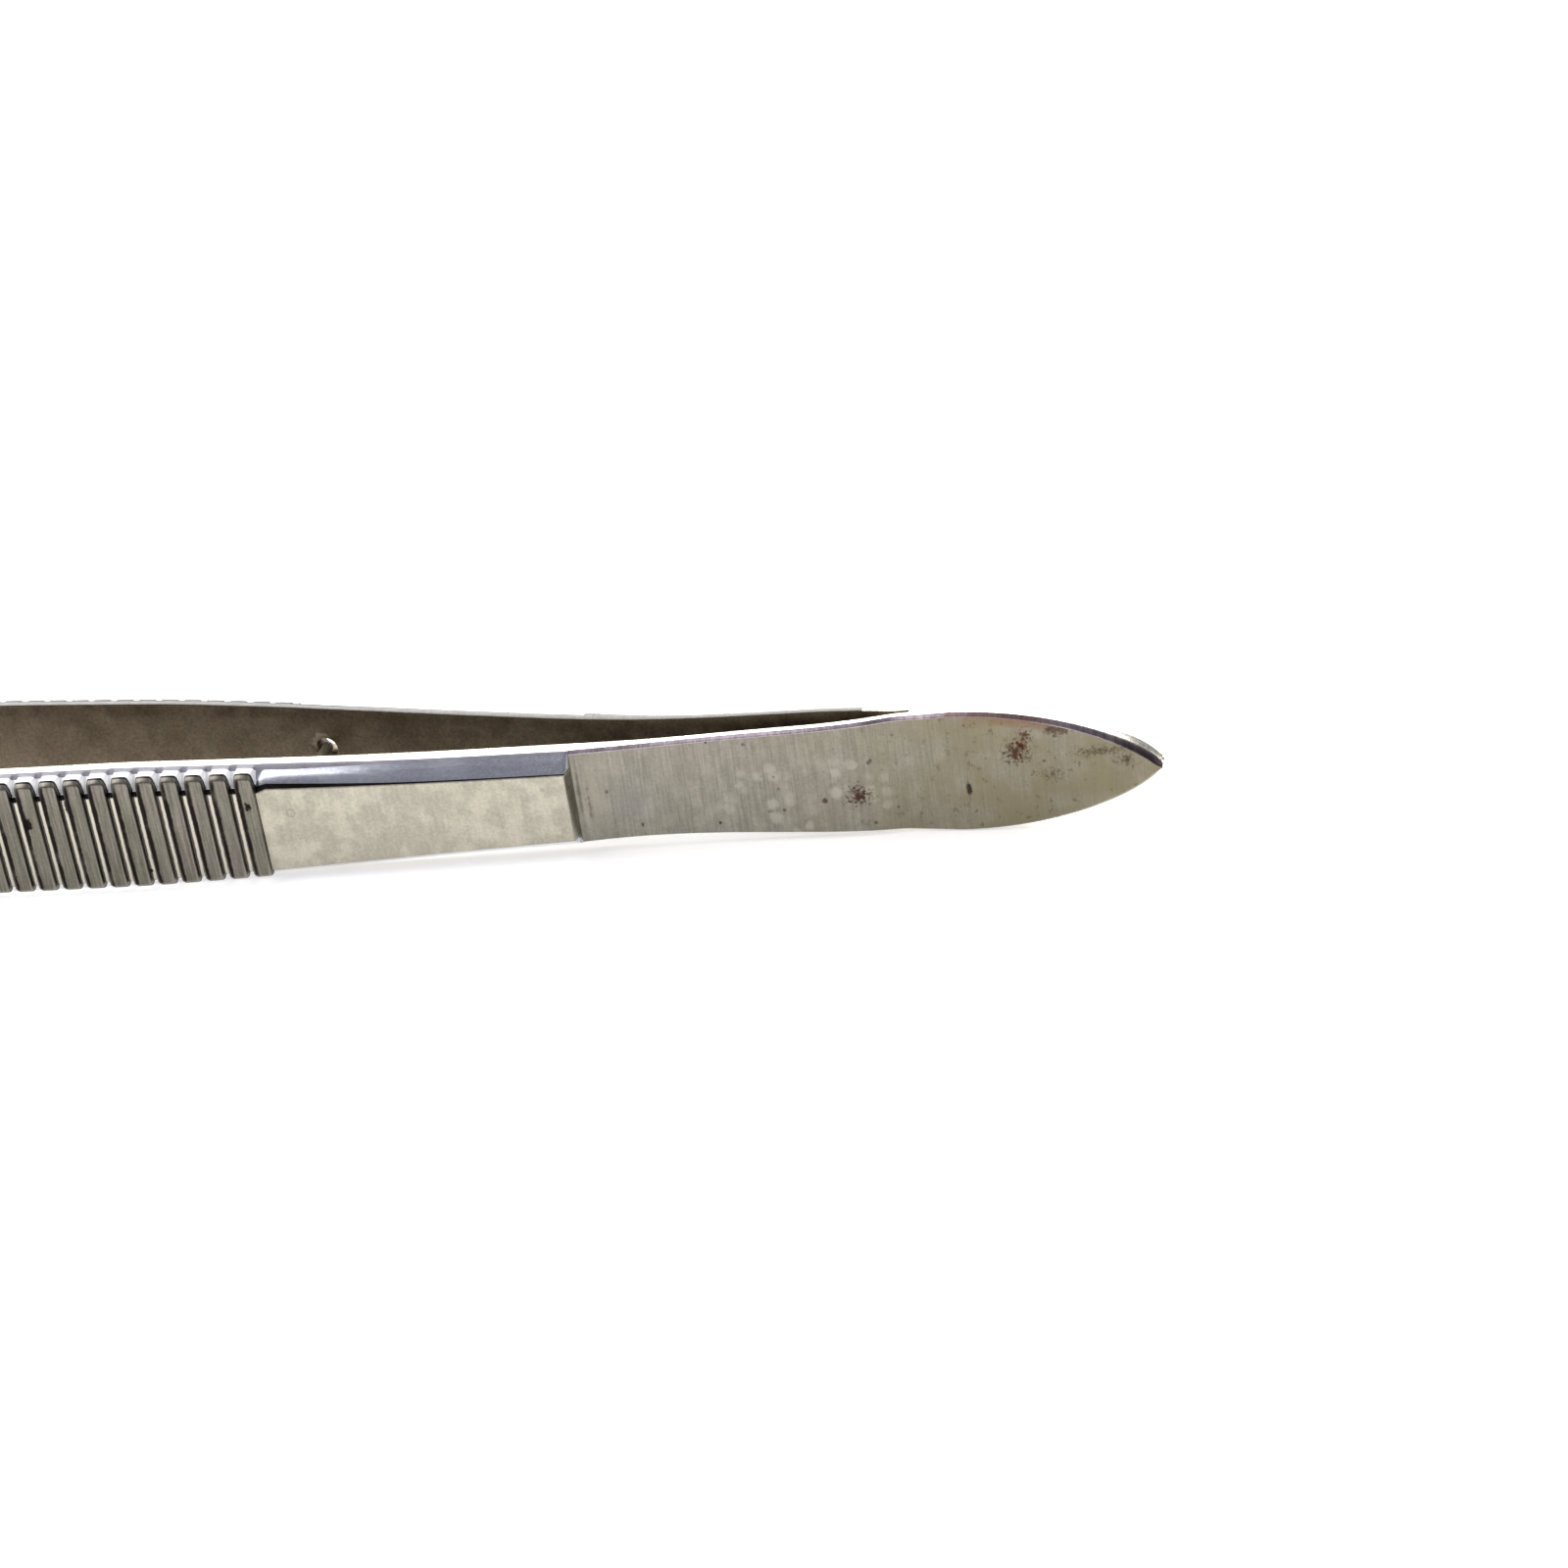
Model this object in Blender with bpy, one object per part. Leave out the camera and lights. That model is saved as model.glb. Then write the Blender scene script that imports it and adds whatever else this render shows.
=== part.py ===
"""Stainless thumb tweezers with two spring arms, standing on their narrow edges.

Each arm runs from a leaf-shaped tail at the butt, through a thin spring leaf, a stepped handle
with a smooth panel and a ribbed grip, to a slender nose with a serrated jaw.  The tails are
welded together.  A guide pin riveted in the near arm runs through a clear hole in the far arm.

Both leaves flex just in front of the weld.  Each is divided there, on its flex axis, into a root
that belongs to the butt and an arm that turns on an upright axis.

+X runs to the butt, +Y to the far arm, +Z up.  "Along" is the distance from the butt's end.
The origin is under the middle of the length, on the plane that the edges stand on.
"""
import math

import bmesh
import bpy
import numpy as np

MM = 0.001

# ---- overall sizes ---------------------------------------------------------------------------
LENGTH = 150.0 * MM           # butt end to jaw tip
BODY_WIDTH = 9.70 * MM        # greatest width, at the tail and at the grip
NECK_WIDTH = 7.66 * MM        # narrowest place of the spring leaf
TIP_WIDTH = 2.2 * MM          # width of the jaw
BUTT_WIDTH = 0.40 * MM        # blunt end of the butt
TAIL_FULLNESS = 0.72          # below 1, the tail's ogive is fuller than a parabola

# ---- places along the arm, from the butt's end -----------------------------------------------
TAIL_WIDEST = 14.8 * MM
WELD_END = 18.5 * MM          # the leaves part here
FLEX_AXIS = 26.0 * MM         # upright axis on which each arm turns
NECK = 39.5 * MM
SHOULDER = 42.6 * MM          # step from the leaf up to the handle
GRIP_START = 65.70 * MM       # first rib
REST_START = 77.5 * MM        # the edges are straight from here
REST_END = 86.0 * MM          # to here, and the tweezers rest on them
NOSE_LENGTH = 50.0 * MM       # slender part in front of the grip
JAW_LENGTH = 14.0 * MM        # straight jaw at the tip
TIP_ROUND = 1.2 * MM          # length over which the tip rounds off
NOSE_START = LENGTH - NOSE_LENGTH
JAW_START = LENGTH - JAW_LENGTH

# ---- thicknesses -----------------------------------------------------------------------------
LEAF_THICKNESS = 0.78 * MM
SHOULDER_THICKNESS = 1.30 * MM   # the leaf thickens to this against the step
PANEL_THICKNESS = 2.40 * MM
NOSE_THICKNESS = 1.85 * MM
JAW_THICKNESS = 1.25 * MM
TIP_THICKNESS = 0.75 * MM
STEP_LENGTH = 0.30 * MM          # slope of the step at the shoulder
RAMP_LENGTH = 11.0 * MM          # hollow-ground run from the leaf up to the step

# ---- spread of the open arms, inner face from the middle plane -------------------------------
SPLAY_OFFSET = 0.72 * MM         # just past the weld
SHOULDER_OFFSET = 1.80 * MM
PANEL_OFFSET = 3.36 * MM
GRIP_OFFSET = 5.55 * MM

# ---- long bevels on the outer edges ----------------------------------------------------------
LEAF_EDGE = 0.12 * MM            # small broken edge of the leaf
TAIL_BEVEL = 0.42 * MM           # bevel at the butt's end, dying out along the tail
HANDLE_EDGE_FLAT = 1.20 * MM     # thickness left square at the handle's edge
HANDLE_BEVEL_HEIGHT = 1.38 * MM
UNDER_BEVEL_SHARE = 0.65         # height of the lower edge's bevel, share of the upper one's
BEVEL_BREAK = 0.62               # where the bevel turns steeper towards the face, share of height
BEVEL_BREAK_DEPTH = 0.70         # and the share of its depth reached there

# ---- ribbed grip -----------------------------------------------------------------------------
RIB_COUNT = 17
RIB_PITCH = 1.86 * MM
RIB_LAND = 1.48 * MM
RIB_HEIGHT = 0.26 * MM
RIB_WALL = 0.09 * MM             # run of a rib's side wall
RIB_END = 0.15 * MM              # rib ends stop this far below the edge
RIB_CROWN = 0.12 * MM            # rounding of a rib's ends

# ---- jaw serrations --------------------------------------------------------------------------
TOOTH_COUNT = 14
TOOTH_PITCH = 0.80 * MM
TOOTH_DEPTH = 0.14 * MM

# ---- opening and closing ---------------------------------------------------------------------
CLOSING_ANGLE = math.radians(3.0)    # turn of each arm from open to closed
JAW_CLEARANCE = 0.06 * MM            # each jaw stops this far from the middle plane
LEAF_CLEARANCE = 0.30 * MM           # between the two tails, and across the flex line
WELD_THICKNESS = 0.10 * MM

# ---- guide pin -------------------------------------------------------------------------------
PIN_PLACE = 63.4 * MM
PIN_ABOVE_MIDDLE = 1.05 * MM
PIN_RADIUS = 0.40 * MM
PIN_SEAT_CLEARANCE = 0.05 * MM       # round the pin, in the near arm
PIN_SEAT_DEPTH = 0.15 * MM           # the pin's fixed end lies this far under the near face
PIN_ENTRY = 0.60 * MM                # how far its free end enters the far arm
PIN_HOLE_CLEARANCE = 0.45 * MM       # round the pin, in the far arm
PIN_HOLE_LEAD = 0.30 * MM            # the far hole lies this much nearer the butt

# ---- how finely the parts are drawn ----------------------------------------------------------
TAIL_STATIONS = 14
TAIL_STEP = 2.0 * MM
ROOT_STEP = 1.0 * MM
LEAF_STEP = 1.5 * MM
HANDLE_STEP = 2.5 * MM
CUT_BEYOND = 1.5 * MM            # a cutter runs this far past the metal on each side

MIDDLE_HEIGHT = BODY_WIDTH / 2
NEAR, FAR = -1.0, 1.0


def smooth_through(stations, along):
    """Monotone cubic through a few (along, value) stations."""
    xs = np.array([s[0] for s in stations])
    ys = np.array([s[1] for s in stations])
    if along <= xs[0]:
        return float(ys[0])
    if along >= xs[-1]:
        return float(ys[-1])
    runs = np.diff(xs)
    slopes = np.diff(ys) / runs
    tangents = np.zeros(len(xs))
    tangents[0], tangents[-1] = slopes[0], slopes[-1]
    for i in range(1, len(xs) - 1):
        if slopes[i - 1] * slopes[i] > 0:
            before, after = 2 * runs[i] + runs[i - 1], runs[i] + 2 * runs[i - 1]
            tangents[i] = (before + after) / (before / slopes[i - 1] + after / slopes[i])
    i = int(np.searchsorted(xs, along)) - 1
    t = (along - xs[i]) / runs[i]
    return float(ys[i] * (2 * t**3 - 3 * t**2 + 1) + runs[i] * tangents[i] * (t**3 - 2 * t**2 + t)
                 + ys[i + 1] * (3 * t**2 - 2 * t**3) + runs[i] * tangents[i + 1] * (t**3 - t**2))


def width(along):
    """Full width: an ogival tail, a waisted leaf, a straight-edged grip and a slender nose."""
    if along < TAIL_WIDEST:
        left = 1 - along / TAIL_WIDEST
        return max(BODY_WIDTH * (1 - left**2)**TAIL_FULLNESS, BUTT_WIDTH)
    if along > LENGTH - TIP_ROUND:
        past = min(1.0, (along - LENGTH + TIP_ROUND) / TIP_ROUND)
        return TIP_WIDTH * (0.45 + 0.55 * math.sqrt(1 - past**2))
    flare = BODY_WIDTH - NECK_WIDTH
    taper = BODY_WIDTH - TIP_WIDTH
    return smooth_through([(TAIL_WIDEST, BODY_WIDTH),
                           ((TAIL_WIDEST + NECK) / 2, NECK_WIDTH + 0.41 * flare),
                           (NECK, NECK_WIDTH),
                           (SHOULDER + 8 * MM, NECK_WIDTH + 0.18 * flare),
                           (GRIP_START - 6 * MM, NECK_WIDTH + 0.46 * flare),
                           (GRIP_START + 3.5 * MM, NECK_WIDTH + 0.80 * flare),
                           (REST_START, BODY_WIDTH), (REST_END, BODY_WIDTH),
                           (NOSE_START, TIP_WIDTH + 0.92 * taper),
                           (NOSE_START + 0.34 * NOSE_LENGTH, TIP_WIDTH + 0.42 * taper),
                           (JAW_START, TIP_WIDTH + 0.12 * taper),
                           (LENGTH - TIP_ROUND, TIP_WIDTH)], along)


def flex_offset():
    """Middle of the leaf's thickness at the flex axis, measured from the middle plane."""
    return body_offset(FLEX_AXIS) + LEAF_THICKNESS / 2


def body_offset(along):
    """Inner face of the arm behind the jaw, measured from the middle plane, arms open."""
    touch = LEAF_CLEARANCE / 2
    splay = touch + SPLAY_OFFSET
    rear = [(0.0, touch), (WELD_END, touch), (WELD_END + 3 * MM, touch + 0.62 * SPLAY_OFFSET),
            (FLEX_AXIS - 1.5 * MM, splay), (FLEX_AXIS + 4 * MM, splay + 0.2 * MM),
            (SHOULDER, SHOULDER_OFFSET),
            (SHOULDER + 8 * MM, SHOULDER_OFFSET + 0.47 * (PANEL_OFFSET - SHOULDER_OFFSET)),
            (GRIP_START - 6 * MM, PANEL_OFFSET),
            (GRIP_START + 3.5 * MM, PANEL_OFFSET + 0.32 * (GRIP_OFFSET - PANEL_OFFSET)),
            (REST_START + 3 * MM, PANEL_OFFSET + 0.59 * (GRIP_OFFSET - PANEL_OFFSET)),
            (NOSE_START, GRIP_OFFSET)]
    if along <= NOSE_START:
        return smooth_through(rear, along)
    return smooth_through([rear[-2], rear[-1], (JAW_START, jaw_offset(JAW_START))], along)


def jaw_offset(along):
    """Inner face of the straight jaw, which lies along the middle plane when closed."""
    middle = flex_offset()
    return (middle + (along - FLEX_AXIS) * math.tan(CLOSING_ANGLE)
            + (JAW_CLEARANCE - middle) / math.cos(CLOSING_ANGLE))


def inner_offset(along):
    """Distance from the middle plane to the inner face, arms open."""
    return jaw_offset(along) if along >= JAW_START else body_offset(along)


def thickness(along):
    """Thickness without the ribs: leaf, hollow-ground ramp, step, handle, nose, tip."""
    if along <= SHOULDER:
        rise = max(0.0, (along - SHOULDER + RAMP_LENGTH) / RAMP_LENGTH)
        return LEAF_THICKNESS + (SHOULDER_THICKNESS - LEAF_THICKNESS) * rise**2
    front = [(SHOULDER + STEP_LENGTH, PANEL_THICKNESS), (NOSE_START, PANEL_THICKNESS),
             (NOSE_START + 0.4 * NOSE_LENGTH, NOSE_THICKNESS), (JAW_START, JAW_THICKNESS),
             (LENGTH - TIP_ROUND, TIP_THICKNESS + 0.2 * MM), (LENGTH, TIP_THICKNESS)]
    return smooth_through(front, along)


def bevel(along):
    """Depth and height of the outer edge's bevel."""
    if along <= SHOULDER:
        near_butt = max(0.0, 1 - along / WELD_END)
        size = LEAF_EDGE + (TAIL_BEVEL - LEAF_EDGE) * near_butt**2
        return size, size
    body = thickness(along)
    nose = max(0.0, (along - NOSE_START) / NOSE_LENGTH)
    depth = (body - HANDLE_EDGE_FLAT) * (1 - nose) + 0.4 * body * nose
    height = HANDLE_BEVEL_HEIGHT * (1 - nose) + 0.3 * TIP_WIDTH * nose
    return depth, height


def half_section(along, bevel_share, rib, tooth):
    """Upper half of the outline, with its bevel at a share of the full height."""
    half = width(along) / 2
    body = thickness(along)
    depth, height = bevel(along)
    depth, height = min(depth, 0.7 * body), min(height * bevel_share, 0.6 * half)
    if rib > 0:
        outer = [(body - depth, half),
                 (body + rib - RIB_CROWN, half - RIB_END),
                 (body + rib, half - RIB_END - RIB_CROWN)]
    else:
        outer = [(body - depth, half),
                 (body - depth * (1 - BEVEL_BREAK_DEPTH), half - height * BEVEL_BREAK),
                 (body, half - height)]
    return [(tooth, half)] + outer


def section(along, rib=0.0, tooth=0.0):
    """Outline across the arm as (distance from the inner face, height from the middle)."""
    under = 1.0 if along <= SHOULDER else UNDER_BEVEL_SHARE
    lower = half_section(along, under, rib, tooth)
    return half_section(along, 1.0, rib, tooth) + [(d, -z) for d, z in reversed(lower)]


def ribs_within(first, last):
    """Places and rib heights of the stations that the ribbed grip needs."""
    places = []
    for i in range(RIB_COUNT):
        start = GRIP_START + i * RIB_PITCH
        for place, height in ((start, 0.0), (start + RIB_WALL, RIB_HEIGHT),
                              (start + RIB_LAND - RIB_WALL, RIB_HEIGHT), (start + RIB_LAND, 0.0)):
            places.append((place, height, 0.0))
    return [p for p in places if first < p[0] < last]


def teeth():
    """Places and depths of the stations that the jaw's cross serrations need."""
    first = LENGTH - TIP_ROUND - TOOTH_COUNT * TOOTH_PITCH
    places = []
    for i in range(TOOTH_COUNT):
        place = first + i * TOOTH_PITCH
        places.append((place, 0.0, 0.0))
        places.append((place + TOOTH_PITCH / 2, 0.0, TOOTH_DEPTH))
    return places + [(LENGTH - TIP_ROUND, 0.0, 0.0)]


def tail_stations():
    """Stations round the ogival butt, close together where it curves most."""
    return [(TAIL_WIDEST * (i / TAIL_STATIONS)**1.8, 0.0, 0.0) for i in range(TAIL_STATIONS)]


def even_stations(first, last, spacing):
    """Stations at an even spacing from first up to, not including, last."""
    count = max(1, round((last - first) / spacing))
    return [(first + (last - first) * i / count, 0.0, 0.0) for i in range(count)]


def root_stations():
    """Stations from the butt's end to the flex line."""
    end = FLEX_AXIS - LEAF_CLEARANCE / 2
    return (tail_stations() + even_stations(TAIL_WIDEST, WELD_END, TAIL_STEP)
            + even_stations(WELD_END, end, ROOT_STEP) + [(end, 0.0, 0.0)])


def arm_stations():
    """Stations from the flex line to the jaw's tip."""
    start = FLEX_AXIS + LEAF_CLEARANCE / 2
    grip_end = GRIP_START + RIB_COUNT * RIB_PITCH
    first_tooth = teeth()[0][0]
    rounding = [(LENGTH - TIP_ROUND * k, 0.0, 0.0) for k in (0.6, 0.3, 0.1, 0.0)]
    return (even_stations(start, SHOULDER, LEAF_STEP) + [(SHOULDER, 0.0, 0.0)]
            + even_stations(SHOULDER + STEP_LENGTH, GRIP_START, HANDLE_STEP)
            + ribs_within(SHOULDER, grip_end)
            + even_stations(grip_end, first_tooth, HANDLE_STEP) + teeth() + rounding)


def lofted(name, stations, side, origin):
    """Closed solid through the arm's outline at each station, on the near or the far side."""
    mesh = bmesh.new()
    rings = []
    for along, rib, tooth in stations:
        inner = inner_offset(along)
        ring = [mesh.verts.new((LENGTH / 2 - along - origin[0], side * (inner + d) - origin[1],
                                MIDDLE_HEIGHT + z - origin[2]))
                for d, z in section(along, rib, tooth)]
        rings.append(ring)
    for ring, following in zip(rings, rings[1:]):
        for i in range(len(ring)):
            j = (i + 1) % len(ring)
            mesh.faces.new((ring[i], ring[j], following[j], following[i]))
    mesh.faces.new(rings[0])
    mesh.faces.new(rings[-1])
    bmesh.ops.triangulate(mesh, faces=mesh.faces)
    bmesh.ops.recalc_face_normals(mesh, faces=mesh.faces)
    return finished(name, mesh, origin)


def finished(name, mesh, origin):
    """Turn a bmesh into an object that stands at the given origin."""
    data = bpy.data.meshes.new(name)
    mesh.to_mesh(data)
    mesh.free()
    data.shade_smooth()
    data.set_sharp_from_angle(angle=math.radians(20))
    body = bpy.data.objects.new(name, data)
    body.location = origin
    bpy.context.collection.objects.link(body)
    return body


def steel(name, colour, roughness):
    """Stainless steel with its own tint and polish."""
    material = bpy.data.materials.new(name)
    material.use_nodes = True
    shader = material.node_tree.nodes["Principled BSDF"]
    shader.inputs["Base Color"].default_value = (*colour, 1.0)
    shader.inputs["Metallic"].default_value = 1.0
    shader.inputs["Roughness"].default_value = roughness
    return material


def flex_point(side):
    """A point of the upright flex axis of one arm, at mid height."""
    return (LENGTH / 2 - FLEX_AXIS, side * flex_offset(), MIDDLE_HEIGHT)


def turned(name, profile, origin, segments=32):
    """Solid of revolution about a line along Y; profile is (distance along Y, radius)."""
    mesh = bmesh.new()
    rings = []
    for y, radius in profile:
        rings.append([mesh.verts.new((radius * math.cos(a), y, radius * math.sin(a)))
                      for a in (2 * math.pi * k / segments for k in range(segments))])
    for ring, following in zip(rings, rings[1:]):
        for i in range(segments):
            j = (i + 1) % segments
            mesh.faces.new((ring[i], ring[j], following[j], following[i]))
    mesh.faces.new(rings[0])
    mesh.faces.new(rings[-1])
    bmesh.ops.recalc_face_normals(mesh, faces=mesh.faces)
    return finished(name, mesh, origin)


def pin_point(lead=0.0):
    """Where the guide pin's axis crosses the middle plane, moved by lead to the butt."""
    return (LENGTH / 2 - PIN_PLACE + lead, 0.0, MIDDLE_HEIGHT + PIN_ABOVE_MIDDLE)


def drill(body, name, side, radius, lead=0.0):
    """Bore a hole along Y through one arm with a hidden cutter."""
    start = inner_offset(PIN_PLACE) - CUT_BEYOND
    end = inner_offset(PIN_PLACE) + PANEL_THICKNESS + CUT_BEYOND
    cutter = turned(name, [(side * start, radius), (side * end, radius)], pin_point(lead))
    cutter.hide_render = True
    cutter.display_type = "WIRE"
    cut = body.modifiers.new("bore", "BOOLEAN")
    cut.operation = "DIFFERENCE"
    cut.solver = "EXACT"
    cut.object = cutter


def build_arm(name, side, material):
    """Moving part of one arm, on an empty that stands on its flex axis."""
    hinge = bpy.data.objects.new(name + "_flex_axis", None)
    hinge.location = flex_point(side)
    bpy.context.collection.objects.link(hinge)
    arm = lofted(name, arm_stations(), side, flex_point(side))
    arm.location = (0.0, 0.0, 0.0)
    arm.parent = hinge
    arm.data.materials.append(material)
    return arm


def build_root(name, side, material):
    """Rear part of one leaf, which belongs to the welded butt."""
    origin = (LENGTH / 2 - WELD_END, 0.0, MIDDLE_HEIGHT)
    root = lofted(name, root_stations(), side, origin)
    root.data.materials.append(material)
    return root


def build_weld(material):
    """Film of weld metal between the two tails, as wide as they are."""
    mesh = bmesh.new()
    inset = WELD_THICKNESS
    places = [along for along, _, _ in tail_stations()[1:]] + [TAIL_WIDEST, WELD_END - 1.5 * MM]
    edge = [(along, width(along) / 2 - inset) for along in places]
    outline = edge + [(along, -z) for along, z in reversed(edge)]
    bottom = [mesh.verts.new((WELD_END - along, -WELD_THICKNESS / 2, z)) for along, z in outline]
    face = mesh.faces.new(bottom)
    lifted = bmesh.ops.extrude_face_region(mesh, geom=[face])
    top = [v for v in lifted["geom"] if isinstance(v, bmesh.types.BMVert)]
    bmesh.ops.translate(mesh, verts=top, vec=(0, WELD_THICKNESS, 0))
    bmesh.ops.triangulate(mesh, faces=mesh.faces)
    bmesh.ops.recalc_face_normals(mesh, faces=mesh.faces)
    weld = finished("butt_weld", mesh, (LENGTH / 2 - WELD_END, 0.0, MIDDLE_HEIGHT))
    weld.data.materials.append(material)
    return weld


def build_pin(near_arm, material):
    """Guide pin: set in the near arm, with a domed free end just inside the far arm."""
    face = inner_offset(PIN_PLACE)
    fixed = -(face + thickness(PIN_PLACE)) + PIN_SEAT_DEPTH
    free = face + PIN_ENTRY
    dome = [(free - PIN_RADIUS * (1 - math.sin(a)), PIN_RADIUS * math.cos(a))
            for a in (math.radians(k) for k in (0, 20, 40, 60, 78))]
    pin = turned("guide_pin", [(fixed, PIN_RADIUS)] + dome, (0.0, 0.0, 0.0))
    pin.parent = near_arm.parent
    pin.location = [p - h for p, h in zip(pin_point(), flex_point(NEAR))]
    pin.data.materials.append(material)
    return pin


def clear_scene():
    """Empty the scene before modelling."""
    for leftover in list(bpy.data.objects):
        bpy.data.objects.remove(leftover, do_unlink=True)


def main():
    """Build the weld, the two roots, the two arms and the guide pin."""
    clear_scene()
    satin = (0.56, 0.53, 0.46)
    build_root("near_leaf_root", NEAR, steel("near_leaf_root", satin, 0.38))
    build_root("far_leaf_root", FAR, steel("far_leaf_root", satin, 0.38))
    build_weld(steel("butt_weld", (0.50, 0.48, 0.44), 0.42))
    near_arm = build_arm("near_arm", NEAR, steel("near_arm", satin, 0.34))
    far_arm = build_arm("far_arm", FAR, steel("far_arm", (0.50, 0.47, 0.40), 0.36))
    drill(near_arm, "near_pin_seat", NEAR, PIN_RADIUS + PIN_SEAT_CLEARANCE)
    drill(far_arm, "far_pin_hole", FAR, PIN_RADIUS + PIN_HOLE_CLEARANCE, PIN_HOLE_LEAD)
    build_pin(near_arm, steel("guide_pin", (0.62, 0.60, 0.56), 0.25))


main()
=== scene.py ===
"""Looks of a pair of spring-leaf tweezers: two forged arms, a butt weld and a guide pin.

Sizes are in millimetres: along the tweezers from the butt's end, out from each arm's inner
face, and up from the middle of the width. The frame itself is in metres.
"""
import logging
import math
from collections.abc import Sequence
from dataclasses import dataclass, field
from enum import Enum, IntEnum

import bmesh
import bpy
import numpy as np
from mathutils import Matrix, Vector


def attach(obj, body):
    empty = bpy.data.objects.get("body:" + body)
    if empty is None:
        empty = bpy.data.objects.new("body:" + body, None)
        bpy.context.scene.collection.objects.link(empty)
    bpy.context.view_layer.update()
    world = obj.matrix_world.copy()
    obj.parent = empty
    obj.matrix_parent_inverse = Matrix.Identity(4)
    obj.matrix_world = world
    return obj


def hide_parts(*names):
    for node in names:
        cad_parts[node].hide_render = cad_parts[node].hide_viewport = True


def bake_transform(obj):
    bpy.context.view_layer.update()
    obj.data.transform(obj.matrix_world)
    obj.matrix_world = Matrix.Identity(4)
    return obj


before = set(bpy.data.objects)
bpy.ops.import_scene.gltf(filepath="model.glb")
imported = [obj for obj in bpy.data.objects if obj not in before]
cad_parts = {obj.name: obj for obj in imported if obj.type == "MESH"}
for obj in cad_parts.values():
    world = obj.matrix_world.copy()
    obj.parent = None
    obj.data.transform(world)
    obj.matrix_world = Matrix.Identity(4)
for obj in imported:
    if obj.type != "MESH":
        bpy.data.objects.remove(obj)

log = logging.getLogger("tweezers")

Socket = bpy.types.NodeSocket
Stations = list[tuple[float, float]]

MM = 0.001
PLACE = "steel_place"  # mesh attribute: each point's along, out and up at rest, in mm
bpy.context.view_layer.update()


class Side(IntEnum):
    """The side of the middle plane that an arm lies on."""

    NEAR = -1
    FAR = 1

    @property
    def word(self) -> str:
        """The side's name as the frame's nodes and bodies use it."""
        return self.name.lower()


class Run(Enum):
    """Stretches of the outline across an arm."""

    INNER = "inner face"
    EDGE = "square edge"
    CORNER = "corner of the square edge"
    FACET = "bevel"
    BREAK = "break in the bevel, or end corner of a rib"
    FOOT = "foot of the bevel, or shoulder of a rib"
    RIM = "corner of the outer face"
    FACE = "outer face"


class Zone(Enum):
    """Parts of an arm's surface, each ground or polished in its own way."""

    LEAF = "leaf"
    LEAF_EDGE = "leaf_edge"
    CORNER = "corner"
    GROUND_EDGE = "ground_edge"
    TAIL_EDGE = "tail_edge"
    RIB_END = "rib_end"
    INNER = "inner"
    STEP = "step"
    PANEL = "panel"
    FACET = "facet"
    FOOT = "foot"
    RIBS = "ribs"
    NOSE = "nose"
    JAW = "jaw"


class Lay(Enum):
    """The way that the polishing belt ran, as a stretch of the pattern (along, out, up)."""

    ACROSS = (1.0, 0.15, 0.045)
    LENGTHWISE = (0.03, 1.0, 1.0)
    ROUND = (1.0, 1.0, 1.0)


def linear(hex_colour: str) -> tuple[float, float, float, float]:
    """Turn an sRGB hex colour into a linear one.

    Args:
        hex_colour: six hex digits after a hash.

    Returns:
        Linear red, green and blue, and an alpha of one.
    """
    parts = [int(hex_colour[i:i + 2], 16) / 255 for i in (1, 3, 5)]
    flat = [c / 12.92 if c <= 0.04045 else ((c + 0.055) / 1.055) ** 2.4 for c in parts]
    return (flat[0], flat[1], flat[2], 1.0)


def smooth_through(stations: Stations, along: float) -> float:
    """Monotone cubic through a few stations.

    Args:
        stations: pairs of place and value, in order.
        along: the place to read.

    Returns:
        The value there; beyond the ends, the end's value.
    """
    xs = np.array([s[0] for s in stations])
    ys = np.array([s[1] for s in stations])
    if along <= xs[0]:
        return float(ys[0])
    if along >= xs[-1]:
        return float(ys[-1])
    runs = np.diff(xs)
    slopes = np.diff(ys) / runs
    tangents = np.zeros(len(xs))
    tangents[0], tangents[-1] = slopes[0], slopes[-1]
    for i in range(1, len(xs) - 1):
        if slopes[i - 1] * slopes[i] > 0:
            before, after = 2 * runs[i] + runs[i - 1], runs[i] + 2 * runs[i - 1]
            tangents[i] = (before + after) / (before / slopes[i - 1] + after / slopes[i])
    i = int(np.searchsorted(xs, along)) - 1
    t = (along - xs[i]) / runs[i]
    return float(ys[i] * (2 * t**3 - 3 * t**2 + 1) + runs[i] * tangents[i] * (t**3 - 2 * t**2 + t)
                 + ys[i + 1] * (3 * t**2 - 2 * t**3) + runs[i] * tangents[i + 1] * (t**3 - t**2))


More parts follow.
